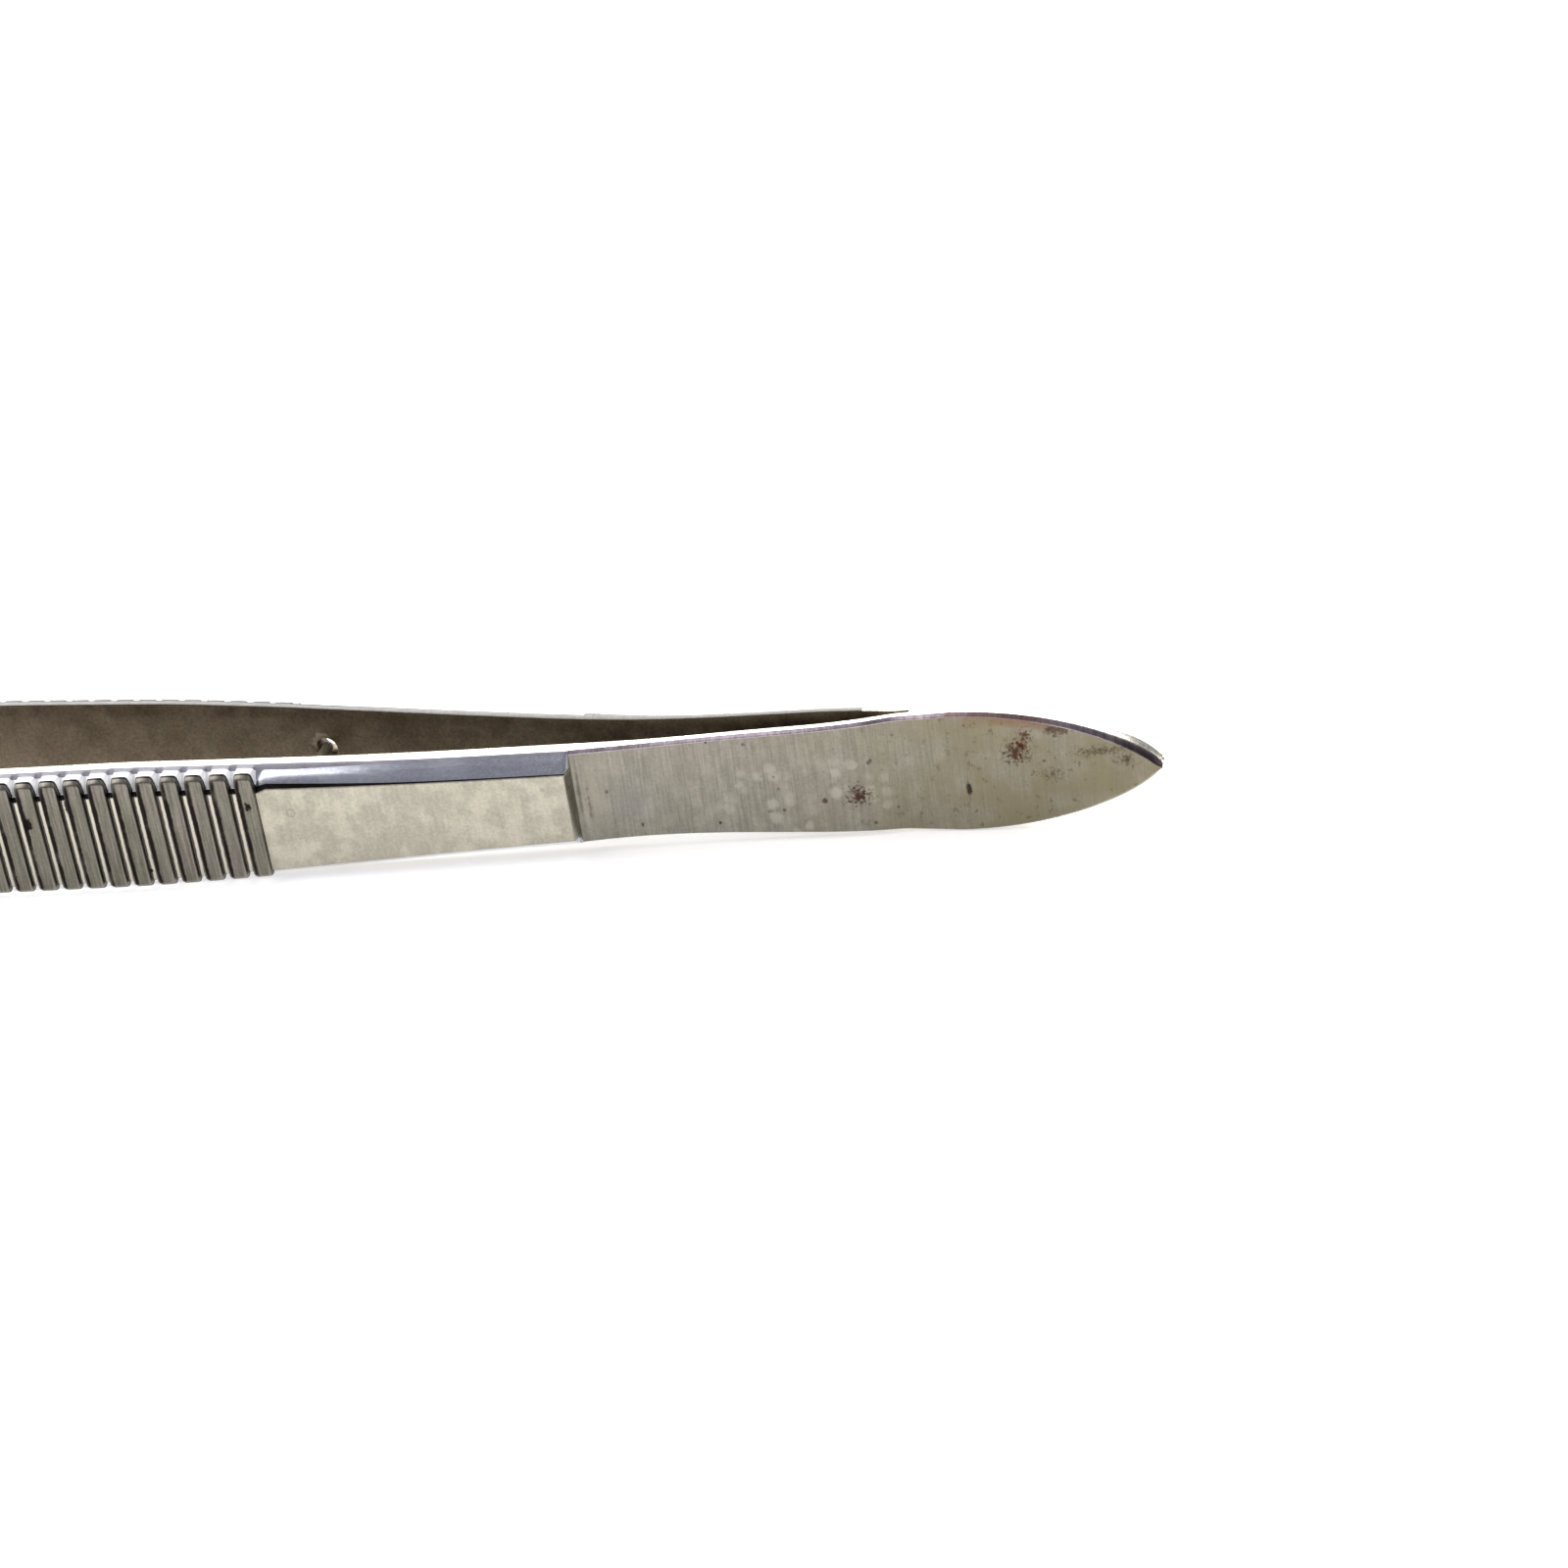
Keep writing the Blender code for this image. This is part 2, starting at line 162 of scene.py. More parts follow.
@dataclass(frozen=True)
class Shape:
    """Sizes and profiles that both arms share; lengths in mm, angles in degrees."""

    length: float = 150.0
    body_width: float = 9.70
    neck_width: float = 7.66
    tip_width: float = 2.2
    butt_width: float = 0.40
    tail_fullness: float = 0.72
    tail_widest: float = 14.8
    weld_end: float = 18.5
    flex_axis: float = 26.0
    neck: float = 39.5
    shoulder: float = 42.6
    grip_start: float = 65.70
    rest_start: float = 77.5
    rest_end: float = 86.0
    nose_length: float = 50.0
    jaw_length: float = 14.0
    tip_round: float = 1.2
    leaf_thickness: float = 0.78
    shoulder_thickness: float = 1.30
    panel_thickness: float = 2.40
    nose_thickness: float = 1.85
    jaw_thickness: float = 1.25
    tip_thickness: float = 0.75
    step_length: float = 0.30
    ramp_length: float = 11.0
    leaf_gap: float = 0.30
    splay_offset: float = 0.72
    shoulder_offset: float = 1.80
    panel_offset: float = 3.36
    grip_offset: float = 5.55
    leaf_edge: float = 0.20
    tail_bevel: float = 0.42
    edge_flat: float = 1.20
    bevel_height: float = 1.38
    under_bevel_share: float = 0.65
    rib_count: int = 17
    rib_pitch: float = 1.86
    rib_land: float = 1.48
    rib_height: float = 0.26
    tooth_count: int = 14
    tooth_pitch: float = 0.80
    tooth_depth: float = 0.14
    closing_angle: float = 3.0
    jaw_clearance: float = 0.06
    pin_place: float = 63.4
    pin_up: float = 1.05
    pin_radius: float = 0.40
    pin_hole_clearance: float = 0.45

    @property
    def nose_start(self) -> float:
        """Where the grip ends and the nose begins."""
        return self.length - self.nose_length

    @property
    def jaw_start(self) -> float:
        """Where the straight, serrated jaw begins."""
        return self.length - self.jaw_length

    @property
    def grip_end(self) -> float:
        """Where the last rib's groove ends."""
        return self.grip_start + self.rib_count * self.rib_pitch

    @property
    def middle_height(self) -> float:
        """Height of the middle of the width over the floor."""
        return self.body_width / 2

    def width(self, along: float) -> float:
        """Full width: an ogival tail, a waisted leaf, a straight grip and a slender nose."""
        if along < self.tail_widest:
            left = 1 - along / self.tail_widest
            return max(self.body_width * (1 - left**2) ** self.tail_fullness, self.butt_width)
        if along > self.length - self.tip_round:
            past = min(1.0, (along - self.length + self.tip_round) / self.tip_round)
            return self.tip_width * (0.45 + 0.55 * math.sqrt(1 - past**2))
        flare = self.body_width - self.neck_width
        taper = self.body_width - self.tip_width
        return smooth_through([
            (self.tail_widest, self.body_width),
            ((self.tail_widest + self.neck) / 2, self.neck_width + 0.41 * flare),
            (self.neck, self.neck_width),
            (self.shoulder + 8, self.neck_width + 0.18 * flare),
            (self.grip_start - 6, self.neck_width + 0.46 * flare),
            (self.grip_start + 3.5, self.neck_width + 0.80 * flare),
            (self.rest_start, self.body_width), (self.rest_end, self.body_width),
            (self.nose_start, self.tip_width + 0.92 * taper),
            (self.nose_start + 0.34 * self.nose_length, self.tip_width + 0.42 * taper),
            (self.jaw_start, self.tip_width + 0.12 * taper),
            (self.length - self.tip_round, self.tip_width)], along)

    def body_offset(self, along: float) -> float:
        """Inner face behind the jaw, from the middle plane, arms open."""
        touch = self.leaf_gap / 2
        splay = touch + self.splay_offset
        opening = self.grip_offset - self.panel_offset
        rear = [(0.0, touch), (self.weld_end, touch),
                (self.weld_end + 3, touch + 0.62 * self.splay_offset),
                (self.flex_axis - 1.5, splay), (self.flex_axis + 4, splay + 0.2),
                (self.shoulder, self.shoulder_offset),
                (self.shoulder + 8,
                 self.shoulder_offset + 0.47 * (self.panel_offset - self.shoulder_offset)),
                (self.grip_start - 6, self.panel_offset),
                (self.grip_start + 3.5, self.panel_offset + 0.32 * opening),
                (self.rest_start + 3, self.panel_offset + 0.59 * opening),
                (self.nose_start, self.grip_offset)]
        if along <= self.nose_start:
            return smooth_through(rear, along)
        jaw = (self.jaw_start, self.jaw_offset(self.jaw_start))
        return smooth_through([rear[-2], rear[-1], jaw], along)

    def jaw_offset(self, along: float) -> float:
        """Inner face of the straight jaw, which lies on the middle plane when closed."""
        middle = self.body_offset(self.flex_axis) + self.leaf_thickness / 2
        angle = math.radians(self.closing_angle)
        return (middle + (along - self.flex_axis) * math.tan(angle)
                + (self.jaw_clearance - middle) / math.cos(angle))

    def inner_offset(self, along: float) -> float:
        """Distance from the middle plane to the inner face, arms open."""
        return self.jaw_offset(along) if along >= self.jaw_start else self.body_offset(along)

    def thickness(self, along: float) -> float:
        """Thickness without the ribs: leaf, hollow-ground ramp, step, handle, nose, tip."""
        if along <= self.shoulder:
            rise = max(0.0, (along - self.shoulder + self.ramp_length) / self.ramp_length)
            gain = self.shoulder_thickness - self.leaf_thickness
            return self.leaf_thickness + gain * rise**2
        return smooth_through([
            (self.shoulder, self.shoulder_thickness),
            (self.shoulder + self.step_length, self.panel_thickness),
            (self.nose_start, self.panel_thickness),
            (self.nose_start + 0.4 * self.nose_length, self.nose_thickness),
            (self.jaw_start, self.jaw_thickness),
            (self.length - self.tip_round, self.tip_thickness + 0.2),
            (self.length, self.tip_thickness)], along)

    def bevel(self, along: float) -> tuple[float, float]:
        """Depth and height of the outer edge's bevel."""
        if along <= self.shoulder:
            near_butt = max(0.0, 1 - along / self.weld_end)
            size = self.leaf_edge + (self.tail_bevel - self.leaf_edge) * near_butt**2
            return size, size
        body = self.thickness(along)
        nose = max(0.0, (along - self.nose_start) / self.nose_length)
        depth = (body - self.edge_flat) * (1 - nose) + 0.4 * body * nose
        return depth, self.bevel_height * (1 - nose) + 0.3 * self.tip_width * nose

    def point(self, side: Side, along: float, out: float, up: float) -> Vector:
        """Place of a point of an arm in the frame, in metres.

        Args:
            side: which arm.
            along: distance from the butt's end.
            out: distance from the arm's inner face, away from the other arm.
            up: height over the middle of the width.

        Returns:
            The point.
        """
        return Vector((self.length / 2 - along, side * (self.inner_offset(along) + out),
                       self.middle_height + up)) * MM


@dataclass(frozen=True)
class Station:
    """One outline across an arm: its place, a rib's height and cut-back end, a tooth's depth."""

    along: float
    rib: float = 0.0
    drop: float = 0.0
    tooth: float = 0.0


# ---------------------------------------------------------------- patterns and finishes


def add_node(tree: bpy.types.NodeTree, kind: str, settings: dict | None = None,
             inputs: dict | None = None) -> bpy.types.Node:
    """Add one node.

    Args:
        tree: the node tree that it joins.
        kind: the node's type.
        settings: properties of the node.
        inputs: value or socket for each input, by name or index.

    Returns:
        The node.
    """
    node = tree.nodes.new(kind)
    for name, value in (settings or {}).items():
        setattr(node, name, value)
    for name, value in (inputs or {}).items():
        if isinstance(value, Socket):
            tree.links.new(value, node.inputs[name])
        else:
            node.inputs[name].default_value = value
    return node


def combine(tree: bpy.types.NodeTree, operation: str, first: Socket | float,
            second: Socket | float = 0.0) -> Socket:
    """Result of one arithmetic step on two sockets or numbers."""
    return add_node(tree, "ShaderNodeMath", {"operation": operation},
                    {0: first, 1: second}).outputs[0]


def fade(tree: bpy.types.NodeTree, value: Socket, low: float, high: float,
         to_low: float = 0.0, to_high: float = 1.0) -> Socket:
    """Turn a value into a soft-edged mask.

    Args:
        tree: the node tree.
        value: what is measured.
        low: value at which the mask is to_low.
        high: value at which the mask is to_high.
        to_low: the mask's first level.
        to_high: the mask's second level.

    Returns:
        The mask.
    """
    if low > high:
        low, high, to_low, to_high = high, low, to_high, to_low
    return add_node(tree, "ShaderNodeMapRange", {"interpolation_type": "SMOOTHSTEP"},
                    {"Value": value, "From Min": low, "From Max": high,
                     "To Min": to_low, "To Max": to_high}).outputs[0]


def tinted(tree: bpy.types.NodeTree, mask: Socket | float, under: Socket | str,
           over: Socket | str, blend: str = "MIX") -> Socket:
    """Colour with another laid over it.

    Args:
        tree: the node tree.
        mask: how much of the upper colour shows.
        under: the lower colour, as a socket or hex.
        over: the upper colour, as a socket or hex.
        blend: how the two mix.

    Returns:
        The mixed colour.
    """
    colours = [c if isinstance(c, Socket) else linear(c) for c in (under, over)]
    return add_node(tree, "ShaderNodeMix", {"data_type": "RGBA", "blend_type": blend},
                    {0: mask, 6: colours[0], 7: colours[1]}).outputs[2]


def place_socket(tree: bpy.types.NodeTree) -> Socket:
    """The point's along, out and up in mm, which stays with the steel as an arm bends."""
    return add_node(tree, "ShaderNodeAttribute", {"attribute_name": PLACE}).outputs["Vector"]


def axis_of(tree: bpy.types.NodeTree, place: Socket, index: int) -> Socket:
    """One of a place's three measures: 0 along, 1 out, 2 up."""
    return add_node(tree, "ShaderNodeSeparateXYZ", None, {0: place}).outputs[index]


def flat_distance(tree: bpy.types.NodeTree, place: Socket, centre: tuple[float, float],
                  reach: tuple[float, float] = (1.0, 1.0)) -> Socket:
    """Distance from a point of the face, whatever the depth.

    Args:
        tree: the node tree.
        place: coordinates in mm.
        centre: the point's along and up.
        reach: lengths along and up that count as one.

    Returns:
        The distance, in reaches.
    """
    near = add_node(tree, "ShaderNodeVectorMath", {"operation": "SUBTRACT"},
                    {0: place, 1: (centre[0], 0.0, centre[1])})
    scaled = add_node(tree, "ShaderNodeVectorMath", {"operation": "MULTIPLY"},
                      {0: near.outputs[0], 1: (1 / reach[0], 0.0, 1 / reach[1])})
    return add_node(tree, "ShaderNodeVectorMath", {"operation": "LENGTH"},
                    {0: scaled.outputs[0]}).outputs["Value"]


def grain(tree: bpy.types.NodeTree, place: Socket, spacing: float, stretch: Sequence[float],
          detail: float = 2.0, shift: float = 0.0) -> Socket:
    """Noise of a real spacing, drawn out along the lay.

    Args:
        tree: the node tree.
        place: coordinates in mm.
        spacing: distance between the pattern's lines or blotches, in mm.
        stretch: share of the full frequency along each axis.
        detail: octaves of the noise.
        shift: moves the pattern, so that two surfaces differ.

    Returns:
        The noise, from 0 to 1.
    """
    scaled = add_node(tree, "ShaderNodeVectorMath", {"operation": "MULTIPLY_ADD"},
                      {0: place, 1: tuple(s / spacing for s in stretch),
                       2: (shift, shift * 0.7, shift * 1.3)})
    return add_node(tree, "ShaderNodeTexNoise", {"noise_dimensions": "3D"},
                    {"Vector": scaled.outputs[0], "Scale": 1.0, "Detail": detail,
                     "Roughness": 0.55}).outputs[0]


@dataclass(frozen=True)
class Stain:
    """A patch on the steel: rust, grime or a worn bright place; sizes in mm."""

    along: float
    up: float
    reach_along: float
    reach_up: float
    colour: str
    strength: float = 0.7
    ragged: float = 1.2
    grit: float = 0.45
    core: float = 0.45

    def mask(self, tree: bpy.types.NodeTree, place: Socket) -> Socket:
        """Ragged ellipse round the stain's place.

        Args:
            tree: the node tree.
            place: coordinates in mm.

        Returns:
            How much of the stain shows, up to its strength.
        """
        far = flat_distance(tree, place, (self.along, self.up),
                            (self.reach_along, self.reach_up))
        rag = grain(tree, place, self.grit, Lay.ROUND.value, 4.0, self.along)
        worn = combine(tree, "MULTIPLY_ADD", rag, self.ragged)
        worn.node.inputs[2].default_value = -0.5 * self.ragged
        total = combine(tree, "ADD", far, worn)
        return fade(tree, total, 1.0, self.core, 0.0, self.strength)


@dataclass(frozen=True)
class Steel:
    """A ground or polished stainless finish, with its lay, blotches, pits and stains."""

    name: str
    colour: str
    blotch_colour: str
    roughness: float
    lay: Lay = Lay.ACROSS
    line_spacing: float = 0.16
    line_depth: float = 0.0014
    line_tone: float = 0.25
    blotch_size: float = 1.1
    blotch_share: float = 0.45
    blotch_depth: float = 0.0
    speckle: float = 0.10
    speckle_size: float = 0.20
    pit_spacing: float = 0.0
    pit_depth: float = 0.004
    edge_wear_highlight_colour: str = ""
    metal: float = 1.0
    shift: float = 0.0
    stains: tuple[Stain, ...] = field(default_factory=tuple)

    def marks(self, tree: bpy.types.NodeTree, place: Socket, colour: Socket) -> Socket:
        """Colour with what only this finish has; the plain finish adds nothing."""
        return colour

    def relief(self, tree: bpy.types.NodeTree, place: Socket, height: Socket) -> Socket:
        """Height in mm with what only this finish has; the plain finish adds nothing."""
        return height

    def make(self) -> bpy.types.Material:
        """Build the material.

        Returns:
            The material, with colour, roughness and bump from its own nodes.
        """
        material = bpy.data.materials.new(self.name)
        material.use_nodes = True
        tree = material.node_tree
        shader = tree.nodes["Principled BSDF"]
        shader.inputs["Metallic"].default_value = self.metal
        place = place_socket(tree)

        # The belt leaves lines a few hundredths apart; they are drawn coarse enough to be seen.
        lines = grain(tree, place, self.line_spacing, self.lay.value, 3.0, self.shift)
        broad = grain(tree, place, self.line_spacing * 7, self.lay.value, 2.0, self.shift + 5)
        blotch = grain(tree, place, self.blotch_size, Lay.ROUND.value, 3.0, self.shift + 9)

        colour = tinted(tree, fade(tree, blotch, 0.42, 0.62, 0.0, self.blotch_share),
                        self.colour, self.blotch_colour)
        shade = fade(tree, lines, 0.30, 0.70, 1.0 - self.line_tone, 1.0 + self.line_tone * 0.3)
        wide = fade(tree, broad, 0.30, 0.70, 1.0 - self.line_tone * 0.7, 1.0)
        speckle = fade(tree, grain(tree, place, self.speckle_size, Lay.ROUND.value, 2.0),
                       0.30, 0.70, 1.0 - self.speckle, 1.0 + self.speckle * 0.6)
        tone = combine(tree, "MULTIPLY", combine(tree, "MULTIPLY", shade, wide), speckle)
        colour = add_node(tree, "ShaderNodeVectorMath", {"operation": "SCALE"},
                          {0: colour, "Scale": tone}).outputs[0]
        colour = self.marks(tree, place, colour)

        height = combine(tree, "MULTIPLY", lines, self.line_depth)
        if self.blotch_depth:
            dimples = combine(tree, "MULTIPLY", blotch, self.blotch_depth)
            height = combine(tree, "ADD", height, dimples)
        gloss = fade(tree, broad, 0.3, 0.7, self.roughness * 0.86, self.roughness * 1.14)
        if self.pit_spacing:
            pits = add_node(tree, "ShaderNodeTexVoronoi", {"feature": "F1"},
                            {"Vector": place, "Scale": 1 / self.pit_spacing}).outputs[0]
            sparse = fade(tree, grain(tree, place, self.pit_spacing * 3, Lay.ROUND.value, 1.0,
                                      self.shift + 3), 0.52, 0.60)
            pit = combine(tree, "MULTIPLY", fade(tree, pits, 0.16, 0.07), sparse)
            colour = tinted(tree, combine(tree, "MULTIPLY", pit, 0.65), colour, "#3A332B")
            height = combine(tree, "SUBTRACT", height,
                             combine(tree, "MULTIPLY", pit, self.pit_depth))
        for stain in self.stains:
            mask = stain.mask(tree, place)
            colour = tinted(tree, mask, colour, stain.colour)
            gloss = combine(tree, "ADD", gloss, combine(tree, "MULTIPLY", mask, 0.18))
        # Convex edges, found by pointiness, are lightened: partly wear and partly a painted
        # highlight.
        if self.edge_wear_highlight_colour:
            worn = add_node(tree, "ShaderNodeNewGeometry").outputs["Pointiness"]
            colour = tinted(tree, fade(tree, worn, 0.515, 0.56, 0.0, 0.8), colour,
                            self.edge_wear_highlight_colour)
        height = self.relief(tree, place, height)
        bump = add_node(tree, "ShaderNodeBump", None,
                        {"Strength": 1.0, "Distance": MM, "Height": height})
        tree.links.new(colour, shader.inputs["Base Color"])
        tree.links.new(gloss, shader.inputs["Roughness"])
        tree.links.new(bump.outputs[0], shader.inputs["Normal"])
        return material


@dataclass(frozen=True)
class LeafSteel(Steel):
    """Leaf face: cross-brushed, olive towards the butt, with round pale forging marks."""

    hollow_start: float = 30.0
    hollow_end: float = 42.0
    hollow_line: float = 0.006
    mark_spacing: float = 1.15
    mark_start: float = 18.5
    mark_end: float = 33.0

    def marks(self, tree: bpy.types.NodeTree, place: Socket, colour: Socket) -> Socket:
        """Olive film that thickens towards the butt, and pale round marks in the middle."""
        along = axis_of(tree, place, 0)
        film = grain(tree, place, 3.0, Lay.ROUND.value, 4.0, self.shift + 14)
        speck = grain(tree, place, 0.55, Lay.ROUND.value, 3.0, self.shift + 44)
        olive = combine(tree, "MULTIPLY", fade(tree, along, 31.0, 8.0, 0.15, 1.0),
                        fade(tree, film, 0.30, 0.62, 0.45, 1.0))
        colour = tinted(tree, combine(tree, "MULTIPLY", olive, 0.85), colour, "#787058")
        dirt = combine(tree, "MULTIPLY", fade(tree, along, 34.0, 6.0, 0.15, 0.9),
                       fade(tree, speck, 0.60, 0.72))
        colour = tinted(tree, combine(tree, "MULTIPLY", dirt, 0.6), colour, "#4E4836")
        ripple = add_node(tree, "ShaderNodeVectorMath", {"operation": "MULTIPLY_ADD"},
                          {0: speck, 1: (0.5, 0.0, 0.5), 2: place})
        flat = add_node(tree, "ShaderNodeVectorMath", {"operation": "MULTIPLY"},
                        {0: ripple.outputs[0], 1: (1.0, 0.0, 1.0)})
        cells = add_node(tree, "ShaderNodeTexVoronoi", {"feature": "F1"},
                         {"Vector": flat.outputs[0], "Scale": 1 / self.mark_spacing,
                          "Randomness": 0.9})
        chosen = add_node(tree, "ShaderNodeSeparateXYZ", None, {0: cells.outputs[1]}).outputs[0]
        middle = (self.mark_start + self.mark_end) / 2
        off = combine(tree, "ABSOLUTE", combine(tree, "SUBTRACT", along, middle))
        patch = fade(tree, off, (self.mark_end - self.mark_start) / 2 + 2,
                     (self.mark_end - self.mark_start) / 2 - 3)
        up = axis_of(tree, place, 2)
        patch = combine(tree, "MULTIPLY", patch, fade(tree, up, 2.8, 0.8))
        spot = combine(tree, "MULTIPLY", fade(tree, cells.outputs[0], 0.56, 0.28),
                       fade(tree, chosen, 0.30, 0.8, 0.0, 0.5))
        return tinted(tree, combine(tree, "MULTIPLY", spot, patch), colour, "#A9A599")

    def relief(self, tree: bpy.types.NodeTree, place: Socket, height: Socket) -> Socket:
        """Deeper cross lines towards the shoulder."""
        along = axis_of(tree, place, 0)
        deep = fade(tree, along, self.hollow_start, self.hollow_end, 0.0, self.hollow_line)
        cuts = grain(tree, place, 0.26, Lay.ACROSS.value, 2.0, 31.0)
        return combine(tree, "ADD", height, combine(tree, "MULTIPLY", deep, cuts))


@dataclass(frozen=True)
class EdgeSteel(Steel):
    """Narrow edge whose corner has gone dark with grime towards the butt."""

    dark_start: float = 2.0
    dark_end: float = 15.0
    dark_colour: str = "#1E1712"
    dark_share: float = 0.95

    def marks(self, tree: bpy.types.NodeTree, place: Socket, colour: Socket) -> Socket:
        """Grime that grows towards the butt."""
        along = axis_of(tree, place, 0)
        ragged = combine(tree, "MULTIPLY", grain(tree, place, 2.0, Lay.ROUND.value), 6.0)
        reach = combine(tree, "ADD", along, ragged)
        mask = fade(tree, reach, self.dark_end + 3.0, self.dark_start + 3.0, 0.0,
                    self.dark_share)
        return tinted(tree, mask, colour, self.dark_colour)


@dataclass(frozen=True)
class RibSteel(Steel):
    """Ribbed grip: streaked lands, a dark band along one side of each land that is partly grime
    and partly painted shade, and grime in the grooves.
    """

    start: float = 65.70
    pitch: float = 1.86
    land: float = 1.48
    lead: float = 0.05

    def phase(self, tree: bpy.types.NodeTree, place: Socket) -> Socket:
        """Place within one rib and groove, in mm from the land's rear edge."""
        along = axis_of(tree, place, 0)
        wobble = combine(tree, "MULTIPLY", grain(tree, place, 0.5, (0.5, 1.0, 1.0), 3.0, 12.0),
                         0.12)
        shifted = combine(tree, "ADD", combine(tree, "SUBTRACT", along, self.start - self.lead),
                          wobble)
        return combine(tree, "FLOORED_MODULO", shifted, self.pitch)

    def marks(self, tree: bpy.types.NodeTree, place: Socket, colour: Socket) -> Socket:
        """Grime and painted shade down the front side of each land, painted shade along the rear
        corners, bright groove floors.
        """
        rear = self.lead + 0.06
        end = rear + self.land
        phase = self.phase(tree, place)
        lumps = grain(tree, place, 1.3, (0.6, 1.0, 0.8), 4.0, 20.0)
        groove = combine(tree, "MULTIPLY", fade(tree, phase, end - 0.01, end + 0.05),
                         fade(tree, phase, self.pitch, self.pitch - 0.06))
        colour = tinted(tree, combine(tree, "MULTIPLY", groove, 0.9), colour, "#C4BEB2")
        width = combine(tree, "MULTIPLY", lumps, 0.26)
        inner = combine(tree, "ADD", phase, width)
        band = combine(tree, "MULTIPLY", fade(tree, inner, end - 0.40, end - 0.26),
                       fade(tree, phase, end + 0.03, end - 0.02))
        # The dark band is partly grime and partly painted shade beside each land's wall.
        grime_and_shade = combine(tree, "MULTIPLY", band, fade(tree, lumps, 0.30, 0.50, 0.72, 0.96))
        colour = tinted(tree, grime_and_shade, colour, "#130D0D")
        # Painted shade along each land's rear corner, standing in for the dark wall there.
        corner = fade(tree, phase, rear + 0.06, rear + 0.01, 0.0, 0.65)
        return tinted(tree, corner, colour, "#26201D")


@dataclass(frozen=True)
class PanelSteel(Steel):
    """Flat satin panel with the ring of the guide pin's riveted end."""

    pin_along: float = 63.4
    pin_up: float = 1.05
    ring_radius: float = 0.30

    def ring(self, tree: bpy.types.NodeTree, place: Socket) -> Socket:
        """Thin ring round the pin's end."""
        far = flat_distance(tree, place, (self.pin_along, self.pin_up))
        off = combine(tree, "ABSOLUTE", combine(tree, "SUBTRACT", far, self.ring_radius))
        return fade(tree, off, 0.09, 0.03)

    def marks(self, tree: bpy.types.NodeTree, place: Socket, colour: Socket) -> Socket:
        """Grime in the ring."""
        return tinted(tree, combine(tree, "MULTIPLY", self.ring(tree, place), 0.28), colour,
                      "#6E675A")

    def relief(self, tree: bpy.types.NodeTree, place: Socket, height: Socket) -> Socket:
        """The ring is a shallow groove."""
        return combine(tree, "SUBTRACT", height,
                       combine(tree, "MULTIPLY", self.ring(tree, place), 0.006))


RUST = "#42261B"
GRIME = "#2E2822"
PALE = "#C9C4B4"


def near_leaf_stains() -> tuple[Stain, ...]:
    """Rust, grime and pale wear on the near leaf's outer face, and a painted highlight and a
    painted shadow line at the shoulder's hollow.
    """
    return (
        Stain(6.0, 4.4, 9.0, 1.3, "#7A5B45", 0.60, 0.8, 1.6),
        # Pale strip over the hollow-ground fillet: a painted highlight.
        Stain(41.3, 0.3, 1.50, 6.0, "#AAA596", 0.45, 0.8, 1.2, -0.6),
        Stain(38.6, -0.8, 2.6, 3.6, "#8B8D94", 0.35, 1.0, 0.8, -0.6),
        # Dark line just before the shoulder's step: a painted shadow.
        Stain(42.3, 0.0, 0.22, 9.0, GRIME, 0.5, 1.2, 0.8, -0.3),
        Stain(22.0, -1.45, 0.95, 1.00, RUST, 0.92, 4.2, 0.24, 0.1),
        Stain(24.5, -1.65, 0.28, 0.30, RUST, 0.75, 1.6, 0.3),
        Stain(10.4, 1.6, 1.15, 1.00, RUST, 0.90, 4.2, 0.26, 0.1),
        Stain(9.8, 2.5, 0.60, 1.10, "#4A2419", 0.85, 3.8, 0.26, 0.1),
        Stain(7.2, 3.3, 1.2, 0.45, RUST, 0.60, 2.4, 0.3),
        Stain(14.0, -1.35, 0.26, 0.65, GRIME, 0.9, 1.8, 0.35),
        Stain(34.5, -4.0, 0.16, 0.30, GRIME, 0.85, 0.8),
        Stain(32.4, -3.05, 0.15, 0.16, GRIME, 0.85, 0.6),
        Stain(38.1, -2.75, 0.12, 0.25, GRIME, 0.7, 0.6),
        Stain(32.6, 3.7, 0.14, 0.16, GRIME, 0.8, 0.6),
        Stain(41.7, -0.6, 0.26, 2.0, GRIME, 0.6, 2.6, 0.4, -0.4),
        Stain(4.3, 1.5, 2.6, 0.55, "#3B2E22", 0.75, 3.6, 0.22, -0.4),
        Stain(2.6, 0.7, 1.0, 0.60, GRIME, 0.75, 3.6, 0.20, -0.4),
        Stain(7.8, -0.3, 1.1, 0.7, GRIME, 0.55, 3.4, 0.22, -0.4),
        Stain(3.4, -3.2, 3.6, 1.8, PALE, 0.25, 0.8, 1.2, -0.6),
    )


def rib_stains() -> tuple[Stain, ...]:
    """Thick grime caught in a few places of the grip."""
    return (Stain(66.4, 1.85, 0.30, 0.55, "#12100E", 0.95, 2.0, 0.3),
            Stain(74.9, -3.15, 0.16, 0.20, "#12100E", 0.95, 1.0, 0.3),
            Stain(83.4, 1.4, 0.40, 0.75, "#12100E", 0.95, 2.4, 0.4),
            Stain(80.2, 2.6, 0.18, 0.7, "#12100E", 0.9, 1.5, 0.3))


